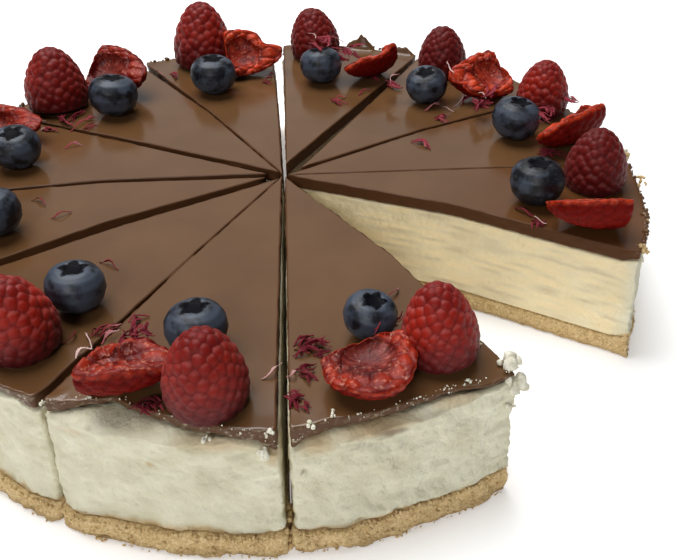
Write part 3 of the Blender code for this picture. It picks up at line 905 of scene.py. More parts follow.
# Chocolate glaze: almost level, a soft edge, and painted shade down its sides
gloss = {
    "ripple": 0.00025,
    "rippleSize": 0.004,
    "crag": 0.00025,
    "cragSize": 0.0025,
    "raggedSize": 0.0018,  # of the pulled-up rim
    "raggedShare": 0.6,
    "pullBand": (0.1172, 0.1198),
    "rounding": 0.0004,
    "shadedBand": (0.04, 0.10),
    "smearSize": 0.004,
    "smearStretch": (1.0, 1.0, 3.0),
    "rimStep": 0.0007,
    "plainStep": 0.0020,
    "fineStep": 0.0009,
    "rows": 16,
}
# slice, direction, half width in degrees, height
pulledUp = [(3, 72.8, 3.2, 0.0050), (3, 63.2, 2.4, 0.0030)]


def glazeRim(degrees, z):
    ring = withHeight(polarPoints(cake["radius"], degrees), np.zeros(degrees.shape))
    edge = glazeEdge(degrees) + gloss["ripple"] * roughness(ring, gloss["rippleSize"], 25, 2)
    return np.broadcast_to(edge, np.broadcast(edge, z).shape)


def buildGlaze(index):
    firstStep, secondStep = sideSteps(index, gloss["plainStep"], gloss["fineStep"])
    outline = sliceOutline(index, firstStep, gloss["rimStep"], secondStep, glazeLayer)
    rows, share, atRim = layerRows(outline, glazeBottom, glazeTop, glazeRim, gloss["rows"], gloss["rounding"])
    wall = (share > 0.0) & (share < 0.97)
    lift = wall * gloss["crag"] * roughness(rows, gloss["cragSize"], 33, 3)
    rows = rows + gridNormals(rows) * lift[..., None]
    lifted = np.zeros(rows.shape[:2])
    for number, direction, half, height in pulledUp:
        if number != index:
            continue
        fade = np.clip(1.0 - ((directionOf(rows) - direction) / half) ** 2, 0.0, 1.0)
        fade = fade * smoothStep(radiusOf(rows), *gloss["pullBand"])
        lifted = np.maximum(lifted, fade)
        ragged = 1.0 + gloss["raggedShare"] * latticeNoise(rows, gloss["raggedSize"], 39)
        rows[..., 2] += height * fade * ragged
    # painted shade: the wall is painted dark up to its last ring, the lip of the cut
    lastRing = len(layering["capScales"]) + gloss["rows"] - 1
    lip = (np.arange(len(share)) == lastRing)[:, None] * (1.0 - atRim)
    side = np.maximum(smoothStep(share, 1.0, 0.90) * (0.6 + 0.4 * (1.0 - atRim)), 0.9 * lifted)
    side = np.maximum(side, lip)
    # painted shade: the first slice's glaze is painted darker and less glossy towards the outside
    deep = smoothStep(radiusOf(rows), *gloss["shadedBand"]) * (index == 0)  # the first one is darker outside
    # cream is smeared over the rim's side, thickest just under its upper edge
    patches = latticeNoise(rows * np.array(gloss["smearStretch"]), gloss["smearSize"], 37)
    smear = atRim * smoothStep(share, 1.0, 0.9) * (0.35 + 0.65 * smoothStep(patches, -0.2, 0.5))
    values = {"side": side, "deep": deep, "smear": smear}
    piece = gridPiece(f"glazePiece_{index + 1:02d}", shiftOut(index, rows), values, glazeMaterial)
    finishPiece(piece, [f"glaze_{index + 1:02d}"])


for index in range(cake["sliceCount"]):
    buildGlaze(index)
print("glaze done")

# Berries: distance from the middle, direction, then their sizes
blueberries = [
    (0.0847, -17.3, 0.0176), (0.0865, 14.4, 0.0178), (0.0812, 44.4, 0.0164), (0.0796, 77.8, 0.0172),
    (0.0769, 110.7, 0.0180), (0.0833, 140.2, 0.0182), (0.0909, 170.5, 0.0164), (0.0895, 199.8, 0.0166),
    (0.0886, 231.8, 0.0156), (0.0922, 256.4, 0.0158), (0.0893, 283.3, 0.0140),
]
raspberries = [
    (0.1046, -8.5, 0.0212, 0.0196), (0.1096, 23.4, 0.0206, 0.0196), (0.1096, 51.4, 0.0210, 0.0192),
    (0.1096, 81.8, 0.0222, 0.0200), (0.1086, 108.0, 0.0250, 0.0254), (0.1058, 144.4, 0.0238, 0.0220),
    (0.1100, 168.6, 0.0204, 0.0190), (0.1070, 194.8, 0.0208, 0.0196), (0.1064, 232.4, 0.0202, 0.0200),
    (0.1094, 260.4, 0.0206, 0.0198), (0.1050, 291.5, 0.0200, 0.0196),
]
# halves: length, width and depth, the way they are turned, and how far the cut face tips
halves = [
    (0.1005, -25.0, 0.0234, 0.0200, 0.0082, 268, 26), (0.1002, 6.6, 0.0280, 0.0206, 0.0088, 312, 42),
    (0.0965, 36.5, 0.0250, 0.0214, 0.0088, 290, -32),
    (0.0873, 66.4, 0.0224, 0.0196, 0.0080, 315, 36), (0.0915, 96.8, 0.0236, 0.0206, 0.0086, 100, 52),
    (0.0968, 131.2, 0.0250, 0.0220, 0.0086, 60, 40),
    (0.1020, 160.6, 0.0220, 0.0184, 0.0070, 80, 16), (0.1088, 204.6, 0.0216, 0.0186, 0.0080, 30, 14),
    (0.1062, 224.2, 0.0210, 0.0186, 0.0080, 120, 20),
    (0.1080, 250.8, 0.0214, 0.0192, 0.0082, 84, -16), (0.1108, 280.8, 0.0180, 0.0250, 0.0076, 20, 5),
]
joinedHalves = (5, 7, 8, 9, 10, 11)


def layDown(rows, distance, degrees, lay):
    # turned, moved over its place, and down until its lowest point is on the glaze
    rows = rows @ np.array(lay).T
    rows[..., :2] += polarPoints(distance, degrees)
    rows[..., 2] += cake["height"] + cake["layerGap"] - rows[..., 2].min()
    return rows


# Blueberry: a flattened ball with a five-pointed crown round a sunken middle
blueForm = {
    "flatness": 0.80,
    "rows": 46,
    "columns": 60,
    # the profile: share of the way from foot to crown, radius and height there
    "marks": [0.0, 0.06, 0.14, 0.26, 0.40, 0.54, 0.66, 0.76, 0.82, 0.86, 0.89, 0.93, 1.0],
    "radii": [0.05, 0.34, 0.66, 0.90, 1.00, 0.96, 0.80, 0.58, 0.42, 0.37, 0.30, 0.24, 0.04],
    "rises": [0.0, 0.02, 0.10, 0.27, 0.49, 0.72, 0.88, 0.965, 0.985, 0.995, 0.985, 0.955, 0.945],
    "crownAt": 0.865,
    "crownHalf": 0.05,
    "crownRise": 0.030,
    "dentSize": 0.005,
    "dent": 0.012,
    "lean": 12.0,
}
frost = [-0.07, 0.05, 0.0, 0.06, 0.03, 0.02, 0.02, 0.03, 0.12, 0.03, 0.09]  # how much bloom each one has


def buildBlueberry(index):
    distance, degrees, width = blueberries[index]
    shares = np.linspace(0.0, 1.0, blueForm["rows"])
    around = np.radians(np.arange(blueForm["columns"]) * 360.0 / blueForm["columns"])
    radius = np.interp(shares, blueForm["marks"], blueForm["radii"])[:, None] * np.ones(len(around))
    rise = np.interp(shares, blueForm["marks"], blueForm["rises"])[:, None] * np.ones(len(around))
    # crown points stand up and outwards, |cos 2.5 a| to the power 1.6
    points = np.abs(np.cos(2.5 * around)) ** 1.6 * (1.0 + 0.3 * np.sin(7.0 * around + 2.0 * index))
    crown = np.clip(1.0 - np.abs(shares - blueForm["crownAt"]) / blueForm["crownHalf"], 0.0, 1.0)[:, None]
    rise = rise + crown * (blueForm["crownRise"] * points - blueForm["crownRise"])
    radius = radius + crown * 0.05 * (points - 0.4)
    height = width * blueForm["flatness"]
    x = radius * np.cos(around) * width / 2.0
    y = radius * np.sin(around) * width / 2.0
    rows = np.stack([x, y, rise * height], axis=-1)
    shift = np.array([index * 0.05, 0.0, 0.0])
    rows = rows * (1.0 + blueForm["dent"] * latticeNoise(rows + shift, blueForm["dentSize"], 41)[..., None])
    lean = math.radians(blueForm["lean"] * math.sin(2.4 * index))
    rows = layDown(rows, distance, degrees, Euler((lean, lean / 2.0, index)).to_matrix())
    # the dark star reaches out furthest at the five points: partly the crown's own dark colour, partly painted
    # shade of its shallow recess
    dark = smoothStep(shares[:, None], 0.875 - 0.075 * points - 0.015, 0.875 - 0.075 * points)
    values = {"crown": dark, "frost": np.full_like(dark, frost[index])}
    piece = gridPiece(f"blueberryPiece_{index + 1:02d}", rows, values, blueberryMaterial)
    finishPiece(piece, [f"blueberry_{index + 1:02d}"])


for index in range(cake["sliceCount"]):
    buildBlueberry(index)
print("blueberries done")

# Raspberry: rounded drupelets with narrow creases, spread evenly over a dome
redForm = {
    "drupelets": 185, "relief": 0.065, "taper": 0.32, "fullness": 0.75, "foot": -0.5, "rows": 100,
    "columns": 152
}
# how dark each one is, or how bright below 0
wine = [0.6, 0.0, 0.6, 0.45, 0.15, 0.3, -0.4, 0.1, -0.8, 0.25, 0.0]


def raspberryPlaces(ways, width, height, swell=0.0):
    # share s = (z - foot)/(1 - foot); out = |xy|^0.75 w/2 (1 - 0.32 s^1.6); up = h s
    share = np.clip((ways[..., 2] - redForm["foot"]) / (1.0 - redForm["foot"]), 0.0, 1.0)
    length = np.hypot(ways[..., 0], ways[..., 1]) + 1e-9
    taper = 1.0 - redForm["taper"] * share ** 1.6
    reach = length ** redForm["fullness"] * width / 2.0 * (1.0 + swell) * taper
    up = height * share * (1.0 + swell / 2.0)
    return np.stack([ways[..., 0] / length * reach, ways[..., 1] / length * reach, up], axis=-1)


def waysAt(polar, around):
    return np.stack(
        [
            np.sin(polar) * np.cos(around), np.sin(polar) * np.sin(around),
            np.cos(polar) * np.ones_like(around)
        ],
        axis=-1
    )


def drupeletField(ways, width, height, seed, count=redForm["drupelets"]):
    # each one's middle stands in an equal share of the surface, the golden angle after the
    # one before; with the two nearest at d1 and d2 and spacing s the cap is
    # 1 - (d1 / 0.68 s)^2 and the edge (d2 - d1) / s
    polar = np.linspace(np.pi, 0.0, 400)
    profile = raspberryPlaces(waysAt(polar, 0.0 * polar), width, height)
    step = np.hypot(np.diff(profile[:, 0]), np.diff(profile[:, 2]))
    area = np.concatenate([[0.0], np.cumsum(np.pi * (profile[1:, 0] + profile[:-1, 0]) * step)])
    k = np.arange(count)
    polarAt = np.interp((k + 0.5) / count, area / area[-1], polar)
    random = np.random.default_rng(seed + 5)
    turn = math.pi * (3.0 - math.sqrt(5.0)) * k + seed + random.normal(0.0, 0.05, count)
    seeds = raspberryPlaces(waysAt(polarAt + random.normal(0.0, 0.03, count), turn), width, height)
    spacing = math.sqrt(1.1547 * area[-1] / count)
    places = raspberryPlaces(ways, width, height).reshape(-1, 3)
    squares = (places ** 2).sum(axis=1)[:, None] + (seeds ** 2).sum(axis=1) - 2.0 * places @ seeds.T
    nearest = np.sqrt(np.maximum(np.partition(squares, 1, axis=1)[:, :2], 0.0)) / spacing
    cap = np.clip(1.0 - (nearest[:, 0] / 0.68) ** 2, 0.0, 1.0)
    return cap.reshape(ways.shape[:-1]), (nearest[:, 1] - nearest[:, 0]).reshape(ways.shape[:-1])


def skinRise(cap, edge):
    # painted shade: darker in the creases, lighter on the caps
    return smoothStep(edge, -0.25, 0.30) * (0.5 + 0.5 * cap)


def reliefSwell(height):
    # shares of the radius, below 0 in the creases
    return (height - 0.60) * redForm["relief"]


def buildRaspberry(index):
    distance, degrees, width, tall = raspberries[index]
    polar = np.pi * (0.006 + 0.988 * np.linspace(1.0, 0.0, redForm["rows"]))[:, None]
    around = np.linspace(0.0, 2.0 * np.pi, redForm["columns"], endpoint=False)
    ways = waysAt(polar, around[None, :])
    cap, edge = drupeletField(ways, width, tall, index)
    rows = raspberryPlaces(ways, width, tall, reliefSwell(cap))
    lean = math.radians(5.0 * math.sin(1.7 * index))
    rows = layDown(rows, distance, degrees, Euler((lean, -lean, 0.8 * index)).to_matrix())
    rise = skinRise(cap, edge)
    # painted highlight: the upper side of each drupelet is painted pale, as if lit from above
    ring = smoothStep(-np.gradient(cap, axis=0), 0.02, 0.16) * smoothStep(edge, 0.0, 0.12)
    up = (rows[..., 2] - cake["height"]) / tall
    # painted light: the upper middle is painted brighter, more where the drupelets rise
    mottle = 0.5 + 0.5 * latticeNoise(rows, 0.006, 61)
    glow = smoothStep(up, 0.30, 0.62) * smoothStep(up, 1.02, 0.80) * mottle * rise
    shade = np.maximum(0.9 * smoothStep(up, 0.60, 0.0), wine[index])
    values = {"rise": rise, "ring": ring, "shade": shade, "glow": glow * (1.0 - wine[index])}
    piece = gridPiece(f"raspberryPiece_{index + 1:02d}", rows, values, raspberryMaterial)
    finishPiece(piece, [f"raspberry_{index + 1:02d}"])


for index in range(cake["sliceCount"]):
    buildRaspberry(index)
print("raspberries done")

# Half raspberry: the round side, the cut lobes round its face, and the hollow core
halfForm = {
    "outer": 36, "lip": 20, "inner": 20, "columns": 130, "hollowShare": 0.60, "hollowDepth": 0.28,
    "lobes": 75, "lobe": 0.0011, "tear": 0.0016, "pastAngle": 40.0, "firstTaller": 0.16,
}
# share of the hollow's width and depth, how bumpy the cut is, how torn, how much of the
# core's colour it has and how bright it is, for each half
openings = [
    (0.60, 0.30, 0.20, 0.3, 0.60, 0.90), (0.95, 0.70, 1.0, 1.2, 0.50, 1.00),
    (1.00, 0.50, 1.4, 1.4, 0.35, 1.00), (0.85, 0.70, 0.8, 1.0, 0.40, 1.00),
    (1.00, 0.50, 1.4, 1.2, 0.25, 1.10), (1.00, 0.60, 1.2, 1.0, 0.80, 0.45),
    (0.90, 0.80, 1.0, 1.0, 0.60, 0.60), (0.90, 0.80, 1.0, 1.0, 0.60, 0.60),
    (0.85, 0.70, 1.0, 1.0, 0.60, 0.60), (0.55, 0.45, 1.2, 1.0, 0.80, 0.55),
    (0.95, 0.45, 1.2, 0.8, 0.90, 0.62),
]
# angle, half width and depth of the notch in some rims
notches = {1: (60.0, 25.0, 0.15), 2: (70.0, 35.0, 0.25), 4: (52.0, 40.0, 0.45), 10: (200.0, 30.0, 0.10)}


def buildHalf(index):
    # rows go from the round side's middle out to the cut plane y = 0, across the cut lobes
    # and down the ellipsoid of the hollow
    distance, degrees, length, width, depth, turn, tip = halves[index]
    wide, deep, bumpy, torn, cored, bright = openings[index]
    around = np.linspace(0.0, 2.0 * np.pi, halfForm["columns"], endpoint=False)
    out = np.linspace(0.02, 1.0, halfForm["outer"]) * np.pi / 2.0
    ways = np.stack([
        np.sin(out)[:, None] * np.cos(around),
        -np.cos(out)[:, None] * np.ones_like(around),
        np.sin(out)[:, None] * np.sin(around),
    ], axis=-1)
    cap, edge = drupeletField(ways, width, length, index + 20)
    outer = raspberryPlaces(ways, width, length, reliefSwell(cap))
    sink = np.linspace(1.0, 0.0, halfForm["inner"])[:, None] * np.pi / 2.0
    sink = np.maximum(sink, 0.03)
    core = halfForm["hollowShare"] / 2.0 * wide
    inner = np.stack([
        core * width * np.sin(sink) * np.cos(around),
        -core * width * np.cos(sink) * np.ones_like(around) * 1.15 * deep,
        halfForm["hollowDepth"] * length + core * length * np.sin(sink) * np.sin(around),
    ], axis=-1)
    inner[..., 2] = np.maximum(inner[..., 2], 0.0004)
    # fibres run down the hollow: noise that is much finer round it than along it
    circle = np.stack(
        [
            np.cos(around) * np.ones_like(sink), np.sin(around) * np.ones_like(sink),
            0.12 * sink + 0.0 * around
        ],
        axis=-1
    )
    knots = 0.7 * latticeNoise(circle + index, 0.07, 50) + 0.6 * roughness(inner + index, 0.0022, 51, 2)
    knots = knots * smoothStep(sink, 0.05, 0.5)
    inner = inner * (1.0 + 0.045 * knots[..., None] * np.array([1.0, 1.0, 0.3]))
    # the cut plane is torn, so its rim swells up and down
    ringPlace = outer[-1] + index
    tear = torn * halfForm["tear"] * roughness(ringPlace, 0.007, 53, 2)
    outer[..., 1] += tear * smoothStep(out, 0.9, np.pi / 2.0)[:, None]
    inner[..., 1] += tear * smoothStep(np.cos(sink), 0.6, 0.0)
    share = np.linspace(0.0, 1.0, halfForm["lip"] + 2)[1:-1, None, None]
    lip = outer[-1] + (inner[0] - outer[-1]) * share
    # cut drupelets: the field of the way past the cut plane, (cos a cos b, sin b, sin a cos b)
    past = share[..., 0] * math.radians(halfForm["pastAngle"])
    pastWays = np.stack(
        [np.cos(past) * np.cos(around), np.sin(past) * np.ones_like(around), np.cos(past) * np.sin(around)],
        axis=-1
    )
    lobeCap, lobeEdge = drupeletField(pastWays, width, length, index + 20, halfForm["lobes"])
    lobe = lobeCap * smoothStep(lobeEdge, -0.1, 0.2)
    dome = np.sin(np.pi * share[..., 0]) ** 0.5
    cutRise = dome * (lobe + 0.15) + 0.6 * dome * latticeNoise(lip, 0.005, 55)
    lip[..., 1] += bumpy * halfForm["lobe"] * cutRise
    rows = np.concatenate([outer, lip, inner])
    # a notch pulls the torn rim in, 1 - depth (1 - (a/w)^2)^2 f, f rising towards the rim
    angle, reach, dip = notches.get(index, (0.0, 30.0, 0.0))
    away = np.clip(1.0 - (turnBetween(np.degrees(around), angle) / reach) ** 2, 0.0, 1.0) ** 2
    near = np.concatenate([smoothStep(out, 0.7, 1.4), np.ones(halfForm["lip"]), np.full(len(sink), 0.6)])
    pull = (dip * away * near[:, None])[..., None]
    rows = rows * (1.0 - pull) + np.array([0.0, 0.0, 0.5 * length]) * pull
    lay = Euler((math.radians(90.0), 0.0, math.radians(turn))).to_matrix()
    lay = lay @ Matrix.Rotation(math.radians(tip), 3, "Z")
    rows[..., 1] *= depth / (width / 2.0)
    rows[..., 2] -= length / 2.0
    rows = layDown(rows, distance, degrees, lay)
    if index == 0:
        rows[..., 2] += (rows[..., 2] - cake["height"]) * halfForm["firstTaller"]
    glow = 0.5 + 0.65 * latticeNoise(lip, 0.007, 59)
    # painted shade: the skin is painted darker in its creases, and the cut lobes bright on their caps and dark
    # between them
    rise = np.concatenate(
        [
            bright * skinRise(cap, edge), bright * (0.25 + 0.75 * dome * lobe) * (0.55 + 0.6 * glow),
            0.45 + 0.45 * knots
        ]
    )
    fuzz = smoothStep(share[..., 0] + 0.5 * latticeNoise(lip, 0.003, 57), 0.55, 1.0)
    cutFace = smoothStep(share[..., 0] + 0.2 * latticeNoise(lip, 0.004, 58), -0.1, 0.15)
    hollow = cored * np.concatenate([np.zeros_like(cap), fuzz, np.ones_like(knots)])
    lobes = np.concatenate(
        [0.8 * smoothStep(out[:, None] + 0.0 * cap, 1.35, np.pi / 2.0), cutFace, np.ones_like(knots)]
    )
    values = {"rise": rise, "hollow": hollow, "lobe": lobes}
    piece = gridPiece(f"halfPiece_{index + 1:02d}", rows, values, fleshMaterial)
    name = "raspberry" if index + 1 in joinedHalves else "half_raspberry"
    finishPiece(piece, [f"{name}_{index + 1:02d}"])


for index in range(cake["sliceCount"]):
    buildHalf(index)
print("halves done")

# Petals: thin curled ribbons laid on whatever carries them
petalMaterial, tree, shader = foodMaterial("dried petal", 0.65)
shader.inputs["Specular IOR Level"].default_value = 0.2
tone = attributeOf(tree, "tone")
fine, normal = addGrain(tree, 1300.0, 0.3, 0.0002, 2.0)
colour = mixColours(tree, rangeOf(tree, tone, 0.0, 0.45), (0.125, 0.0065, 0.0150, 1), (0.28, 0.030, 0.045, 1))
colour = mixColours(tree, rangeOf(tree, tone, 0.45, 1.0), colour, (0.72, 0.50, 0.46, 1))
colour = mixColours(tree, rangeOf(tree, fine, 0.42, 0.30, 0.0, 0.5), colour, (0.060, 0.005, 0.010, 1))
paint(tree, shader, colour, normal)
petalForm = {
    "steps": 24,
    "thickness": 0.0002,
    "level": 0.041,  # height of what lies on the glaze
    "clear": 0.0002,  # room under a petal
    "overhang": 0.004,
    "strands": 4,
    "fullStrands": 7,
    "fullSlices": (1, 2, 3),
    "paleFrom": 0.4,  # tone from which a petal is a single thread
    "spread": 0.0010,
    "sway": 0.35,
    "veer": 12.0,
    "lengths": (0.35, 0.85),
    "rises": (0.3, 1.0),
    "wander": 6.0,
    "looseEnd": 0.0005,
    "petalSeeds": 8,
    "sliceSeeds": 400,
}
# slice and place in its list of the petals that are one strand, as in the solids
loneShreds = [(0, 0), (4, 0), (7, 0), (7, 1), (8, 0), (8, 1)]


def seen(start, end, width, bend, rise, lift, tone, level=petalForm["level"], stands=None):
    # a petal known by the pixels of its two ends, which lie at that level; one that isn't on
    # the glaze stays at the level, or stands at another height above the glaze
    near, far = fromPixel(*start, level), fromPixel(*end, level)
    along = far - near
    heading = round(math.degrees(math.atan2(along[1], along[0])))
    length = round(math.hypot(*along), 4)
    petal = (*placeOf((near + far) / 2.0), heading, length, width, bend, rise, lift, tone)
    if level == petalForm["level"]:
        return petal
    return petal + (round(level - cake["height"], 4) if stands is None else stands,)


# Petals of each slice: distance, direction, heading, length, width, bend over the length in
# degrees, rise of its middle, lift of its end, and tone from wine 0 to pale 1. The solids'
# shreds come first. Those seen in the photo have the pixels of both ends instead of the
# first four values.
petals = [
    [
        (0.0820, -23.0, -55, 0.0088, 0.0012, 60, 0.0014, 0, 0.15),
        (0.0872, 334.0, -75, 0.0080, 0.0010, 40, 0.0020, 0.0015, 0.95),
        (0.0871, 333.6, -60, 0.0050, 0.0014, 30, 0.0012, 0.0003, 0.08),
        (0.0882, 333.4, 44, 0.0050, 0.0012, -40, 0.0012, 0.0003, 0.10),
        seen((620, 205), (632, 214), 0.0012, 30, 0.0010, 0, 0.10),
    ],
    [
        (0.0536, 19.8, -52, 0.0110, 0.0013, -50, 0.0014, 0, 0.30),
        (0.0945, 5.4, -33, 0.0067, 0.0012, 50, 0.0012, 0.0010, 0.35),
        (0.1054, 35.4, 62, 0.0150, 0.0010, 30, 0.0015, 0.0030, 0.50),
        (0.1052, 20.2, -84, 0.0130, 0.0010, 40, 0.0015, 0.0005, 0.30),
        seen((536, 150), (569, 156), 0.0011, -40, 0.0015, 0.0005, 0.25),
        seen((540, 156), (556, 149), 0.0009, 40, 0.0012, 0.0005, 0.30),
        (0.1150, 23.0, -75, 0.0110, 0.0010, 40, 0.0015, 0.0010, 0.30),
        seen((533, 107), (546, 124), 0.0012, 40, 0.0015, 0.0005, 0.30, level=0.049),
        seen((541, 104), (553, 119), 0.0012, -40, 0.0015, 0.0005, 0.20, level=0.050),
        seen((528, 124), (545, 126), 0.0011, 30, 0.0015, 0.0005, 0.45, level=0.047),
        seen((560, 98), (575, 108), 0.0012, 40, 0.0015, 0.0010, 0.30, level=0.048),
    ],
    [
        (0.0735, 33.6, 4, 0.0063, 0.0012, 50, 0.0012, 0, 0.40),
        (0.0908, 37.2, 45, 0.0077, 0.0012, -50, 0.0013, 0.0010, 0.30),
        seen((384, 81), (402, 90), 0.0010, 40, 0.0012, 0.0005, 0.35),
        seen((425, 109), (441, 103), 0.0013, 60, 0.0020, 0.0010, 0.50),
        seen((441, 104), (453, 110), 0.0008, 40, 0.0010, 0, 0.95),
        seen((434, 115), (450, 120), 0.0009, -40, 0.0010, 0, 0.40),
        seen((455, 105), (468, 96), 0.0012, 70, 0.0030, 0.0015, 0.90),
        seen((470, 98), (487, 112), 0.0016, 30, 0.0015, 0.0005, 0.15, level=0.045),
        seen((474, 112), (492, 100), 0.0016, -30, 0.0015, 0.0005, 0.20, level=0.046),
        seen((484, 100), (500, 84), 0.0014, 30, 0.0015, 0.0010, 0.40, level=0.048),
        seen((446, 62), (452, 74), 0.0010, 30, 0.0010, 0, 0.90, level=0.052),
        seen((478, 93), (486, 99), 0.0009, 30, 0.0010, 0, 0.95, level=0.046),
        seen((384, 81), (402, 90), 0.0012, 40, 0.0015, 0.0005, 0.35, level=0.046),
        seen((398, 74), (388, 84), 0.0008, 40, 0.0010, 0, 0.80, level=0.047),
        (0.1130, 54.5, -82, 0.0120, 0.0008, 30, 0.0012, 0.0005, 0.40),
    ],
    [
        (0.0742, 63.4, 40, 0.0070, 0.0012, -50, 0.0012, 0, 0.50),
        (0.0653, 69.9, 12, 0.0075, 0.0012, 50, 0.0012, 0, 0.45),
        seen((308, 43), (322, 53), 0.0016, 30, 0.0015, 0.0005, 0.20, level=0.054),
        seen((318, 36), (334, 50), 0.0016, -30, 0.0015, 0.0010, 0.30, level=0.054),
        seen((326, 35), (345, 47), 0.0012, 30, 0.0015, 0.0005, 0.55, level=0.053),
        seen((338, 46), (352, 60), 0.0016, -30, 0.0012, 0.0005, 0.20, level=0.050),
        seen((334, 55), (348, 64), 0.0016, 40, 0.0015, 0.0005, 0.15, level=0.049),
        seen((345, 48), (366, 47), 0.0012, 30, 0.0010, 0.0005, 0.35, level=0.050),
        seen((350, 52), (360, 62), 0.0014, 30, 0.0010, 0.0005, 0.10, level=0.049),
        seen((309, 33), (318, 42), 0.0008, 30, 0.0010, 0.0010, 0.80, level=0.054),
        seen((330, 97), (347, 102), 0.0010, 40, 0.0012, 0, 0.30),
        seen((370, 75), (381, 79), 0.0009, -40, 0.0010, 0, 0.35),
    ],
    [
        (0.0823, 94.2, 53, 0.0076, 0.0012, 50, 0.0012, 0, 0.30),
        (0.1000, 116.6, -61, 0.0084, 0.0012, -50, 0.0012, 0.0010, 0.30),
        seen((267, 73), (274, 72), 0.0008, 20, 0.0010, 0, 0.40),
        seen((262, 78), (272, 82), 0.0007, 30, 0.0010, 0, 0.30),
    ],
    [
        (0.0933, 146.7, 59, 0.0104, 0.0013, -50, 0.0014, 0.0010, 0.35),
        (0.0874, 145.7, 16, 0.0060, 0.0012, 50, 0.0012, 0, 0.50),
        (0.0960, 149.1, -68, 0.0150, 0.0010, 20, 0.0015, 0.0030, 0.35),
        seen((80, 128), (95, 121), 0.0008, 30, 0.0010, 0, 0.30),
        seen((155, 67), (163, 75), 0.0008, 30, 0.0012, 0.0005, 0.50),
    ],
    [
        (0.0949, 154.4, -29, 0.0083, 0.0012, 50, 0.0012, 0, 0.40),
        (0.0790, 160.0, 20, 0.0070, 0.0012, -50, 0.0012, 0, 0.50),
        seen((34, 118), (45, 120), 0.0009, 30, 0.0010, 0, 0.90),
        (0.0968, 154.8, 16, 0.0030, 0.0008, 0, 0.0008, 0, 0.95),
        (0.0937, 150.0, -49, 0.0128, 0.0010, 40, 0.0012, 0.0005, 0.40),
        (0.0871, 149.3, 58, 0.0129, 0.0009, -40, 0.0012, 0.0005, 0.50),
    ],
    [
        (0.0783, 189.0, -36, 0.0073, 0.0012, -50, 0.0012, 0, 0.30),
        (0.0720, 197.0, 30, 0.0068, 0.0012, 50, 0.0012, 0, 0.30),
    ],
    [
        (0.0989, 236.8, 60, 0.0068, 0.0012, 50, 0.0012, 0, 0.20),
        (0.0706, 225.3, -36, 0.0078, 0.0012, -50, 0.0012, 0, 0.30),
    ],
    [
        (0.0857, 243.6, 45, 0.0066, 0.0013, -50, 0.0012, 0, 0.25),
        (0.0990, 243.9, 75, 0.0076, 0.0012, 50, 0.0014, 0, 0.20),
        seen((100, 341), (119, 328), 0.0013, -30, 0.0015, 0.0005, 0.60),
        seen((89, 335), (108, 323), 0.0009, 30, 0.0015, 0.0005, 0.15),
        seen((96, 333), (121, 322), 0.0008, -40, 0.0012, 0.0005, 0.40),
        seen((128, 319), (138, 312), 0.0010, 30, 0.0010, 0, 0.55),
        seen((119, 345), (133, 331), 0.0014, 40, 0.0010, 0.0010, 0.05, level=0.047, stands=0.0072),
        seen((133, 339), (142, 328), 0.0012, -40, 0.0010, 0.0010, 0.10, level=0.047, stands=0.0072),
        seen((140, 329), (153, 341), 0.0013, 30, 0.0010, 0.0005, 0.05, level=0.047, stands=0.0072),
        seen((123, 340), (150, 342), 0.0013, 20, 0.0010, 0.0005, 0.10, level=0.047, stands=0.0072),
        seen((136, 334), (151, 330), 0.0008, 30, 0.0010, 0.0020, 0.15, level=0.047, stands=0.0072),
        seen((84, 329), (91, 345), 0.0008, -30, 0.0012, 0, 1.00),
        seen((91, 344), (72, 355), 0.0010, 60, 0.0012, 0, 1.00),
        seen((128, 402), (153, 411), 0.0012, 30, 0.0015, 0.0005, 0.10),
        seen((135, 398), (162, 403), 0.0011, -30, 0.0015, 0.0005, 0.15),
        seen((144, 409), (153, 401), 0.0009, 50, 0.0015, 0.0005, 0.05),
        seen((150, 400), (158, 410), 0.0008, -30, 0.0010, 0, 0.10),
        seen((104, 356), (118, 371), 0.0007, 60, 0.0015, 0, 0.65, level=0.046, stands=0.0056),
    ],
    [
        (0.0996, 272.6, 11, 0.0064, 0.0012, 50, 0.0012, 0, 0.10),
        (0.0889, 272.8, 36, 0.0066, 0.0012, -50, 0.0012, 0, 0.20),
        (0.0771, 292.3, 42, 0.0070, 0.0010, 50, 0.0012, 0, 0.50),
        seen((261.5, 377), (284, 362), 0.0013, 30, 0.0015, 0.0005, 0.75),
        seen((285, 377), (299, 367), 0.0011, 120, 0.0015, 0, 0.70),
        seen((297, 368), (318, 377), 0.0012, -40, 0.0012, 0, 0.15),
        seen((283, 393), (306, 396), 0.0011, 60, 0.0015, 0.0005, 0.10),
        seen((287, 406), (303, 392), 0.0010, -70, 0.0015, 0, 0.05),
        seen((292, 391), (298, 409), 0.0009, 50, 0.0012, 0, 0.15),
        seen((303, 397), (308, 410), 0.0008, 40, 0.0010, 0, 0.10),
        seen((294, 348), (327, 338), 0.0016, 30, 0.0020, 0.0010, 0.10),
        seen((292, 352), (318, 347), 0.0012, -30, 0.0015, 0.0005, 0.15),
        seen((300, 343), (322, 352), 0.0010, 50, 0.0015, 0.0010, 0.10),
        seen((310, 339), (331, 345), 0.0010, 40, 0.0020, 0.0010, 0.20),
        seen((312, 353), (330, 349), 0.0012, 30, 0.0010, 0.0005, 0.10),
        seen((377, 331), (406, 306), 0.0013, 30, 0.0020, 0.0015, 0.10, level=0.046, stands=0.0024),
        seen((374, 336), (384, 318), 0.0006, 30, 0.0010, 0.0020, 0.20, level=0.047, stands=0.0072),
        seen((384, 322), (398, 316), 0.0012, -40, 0.0010, 0.0010, 0.10, level=0.046, stands=0.0024),
    ],
]


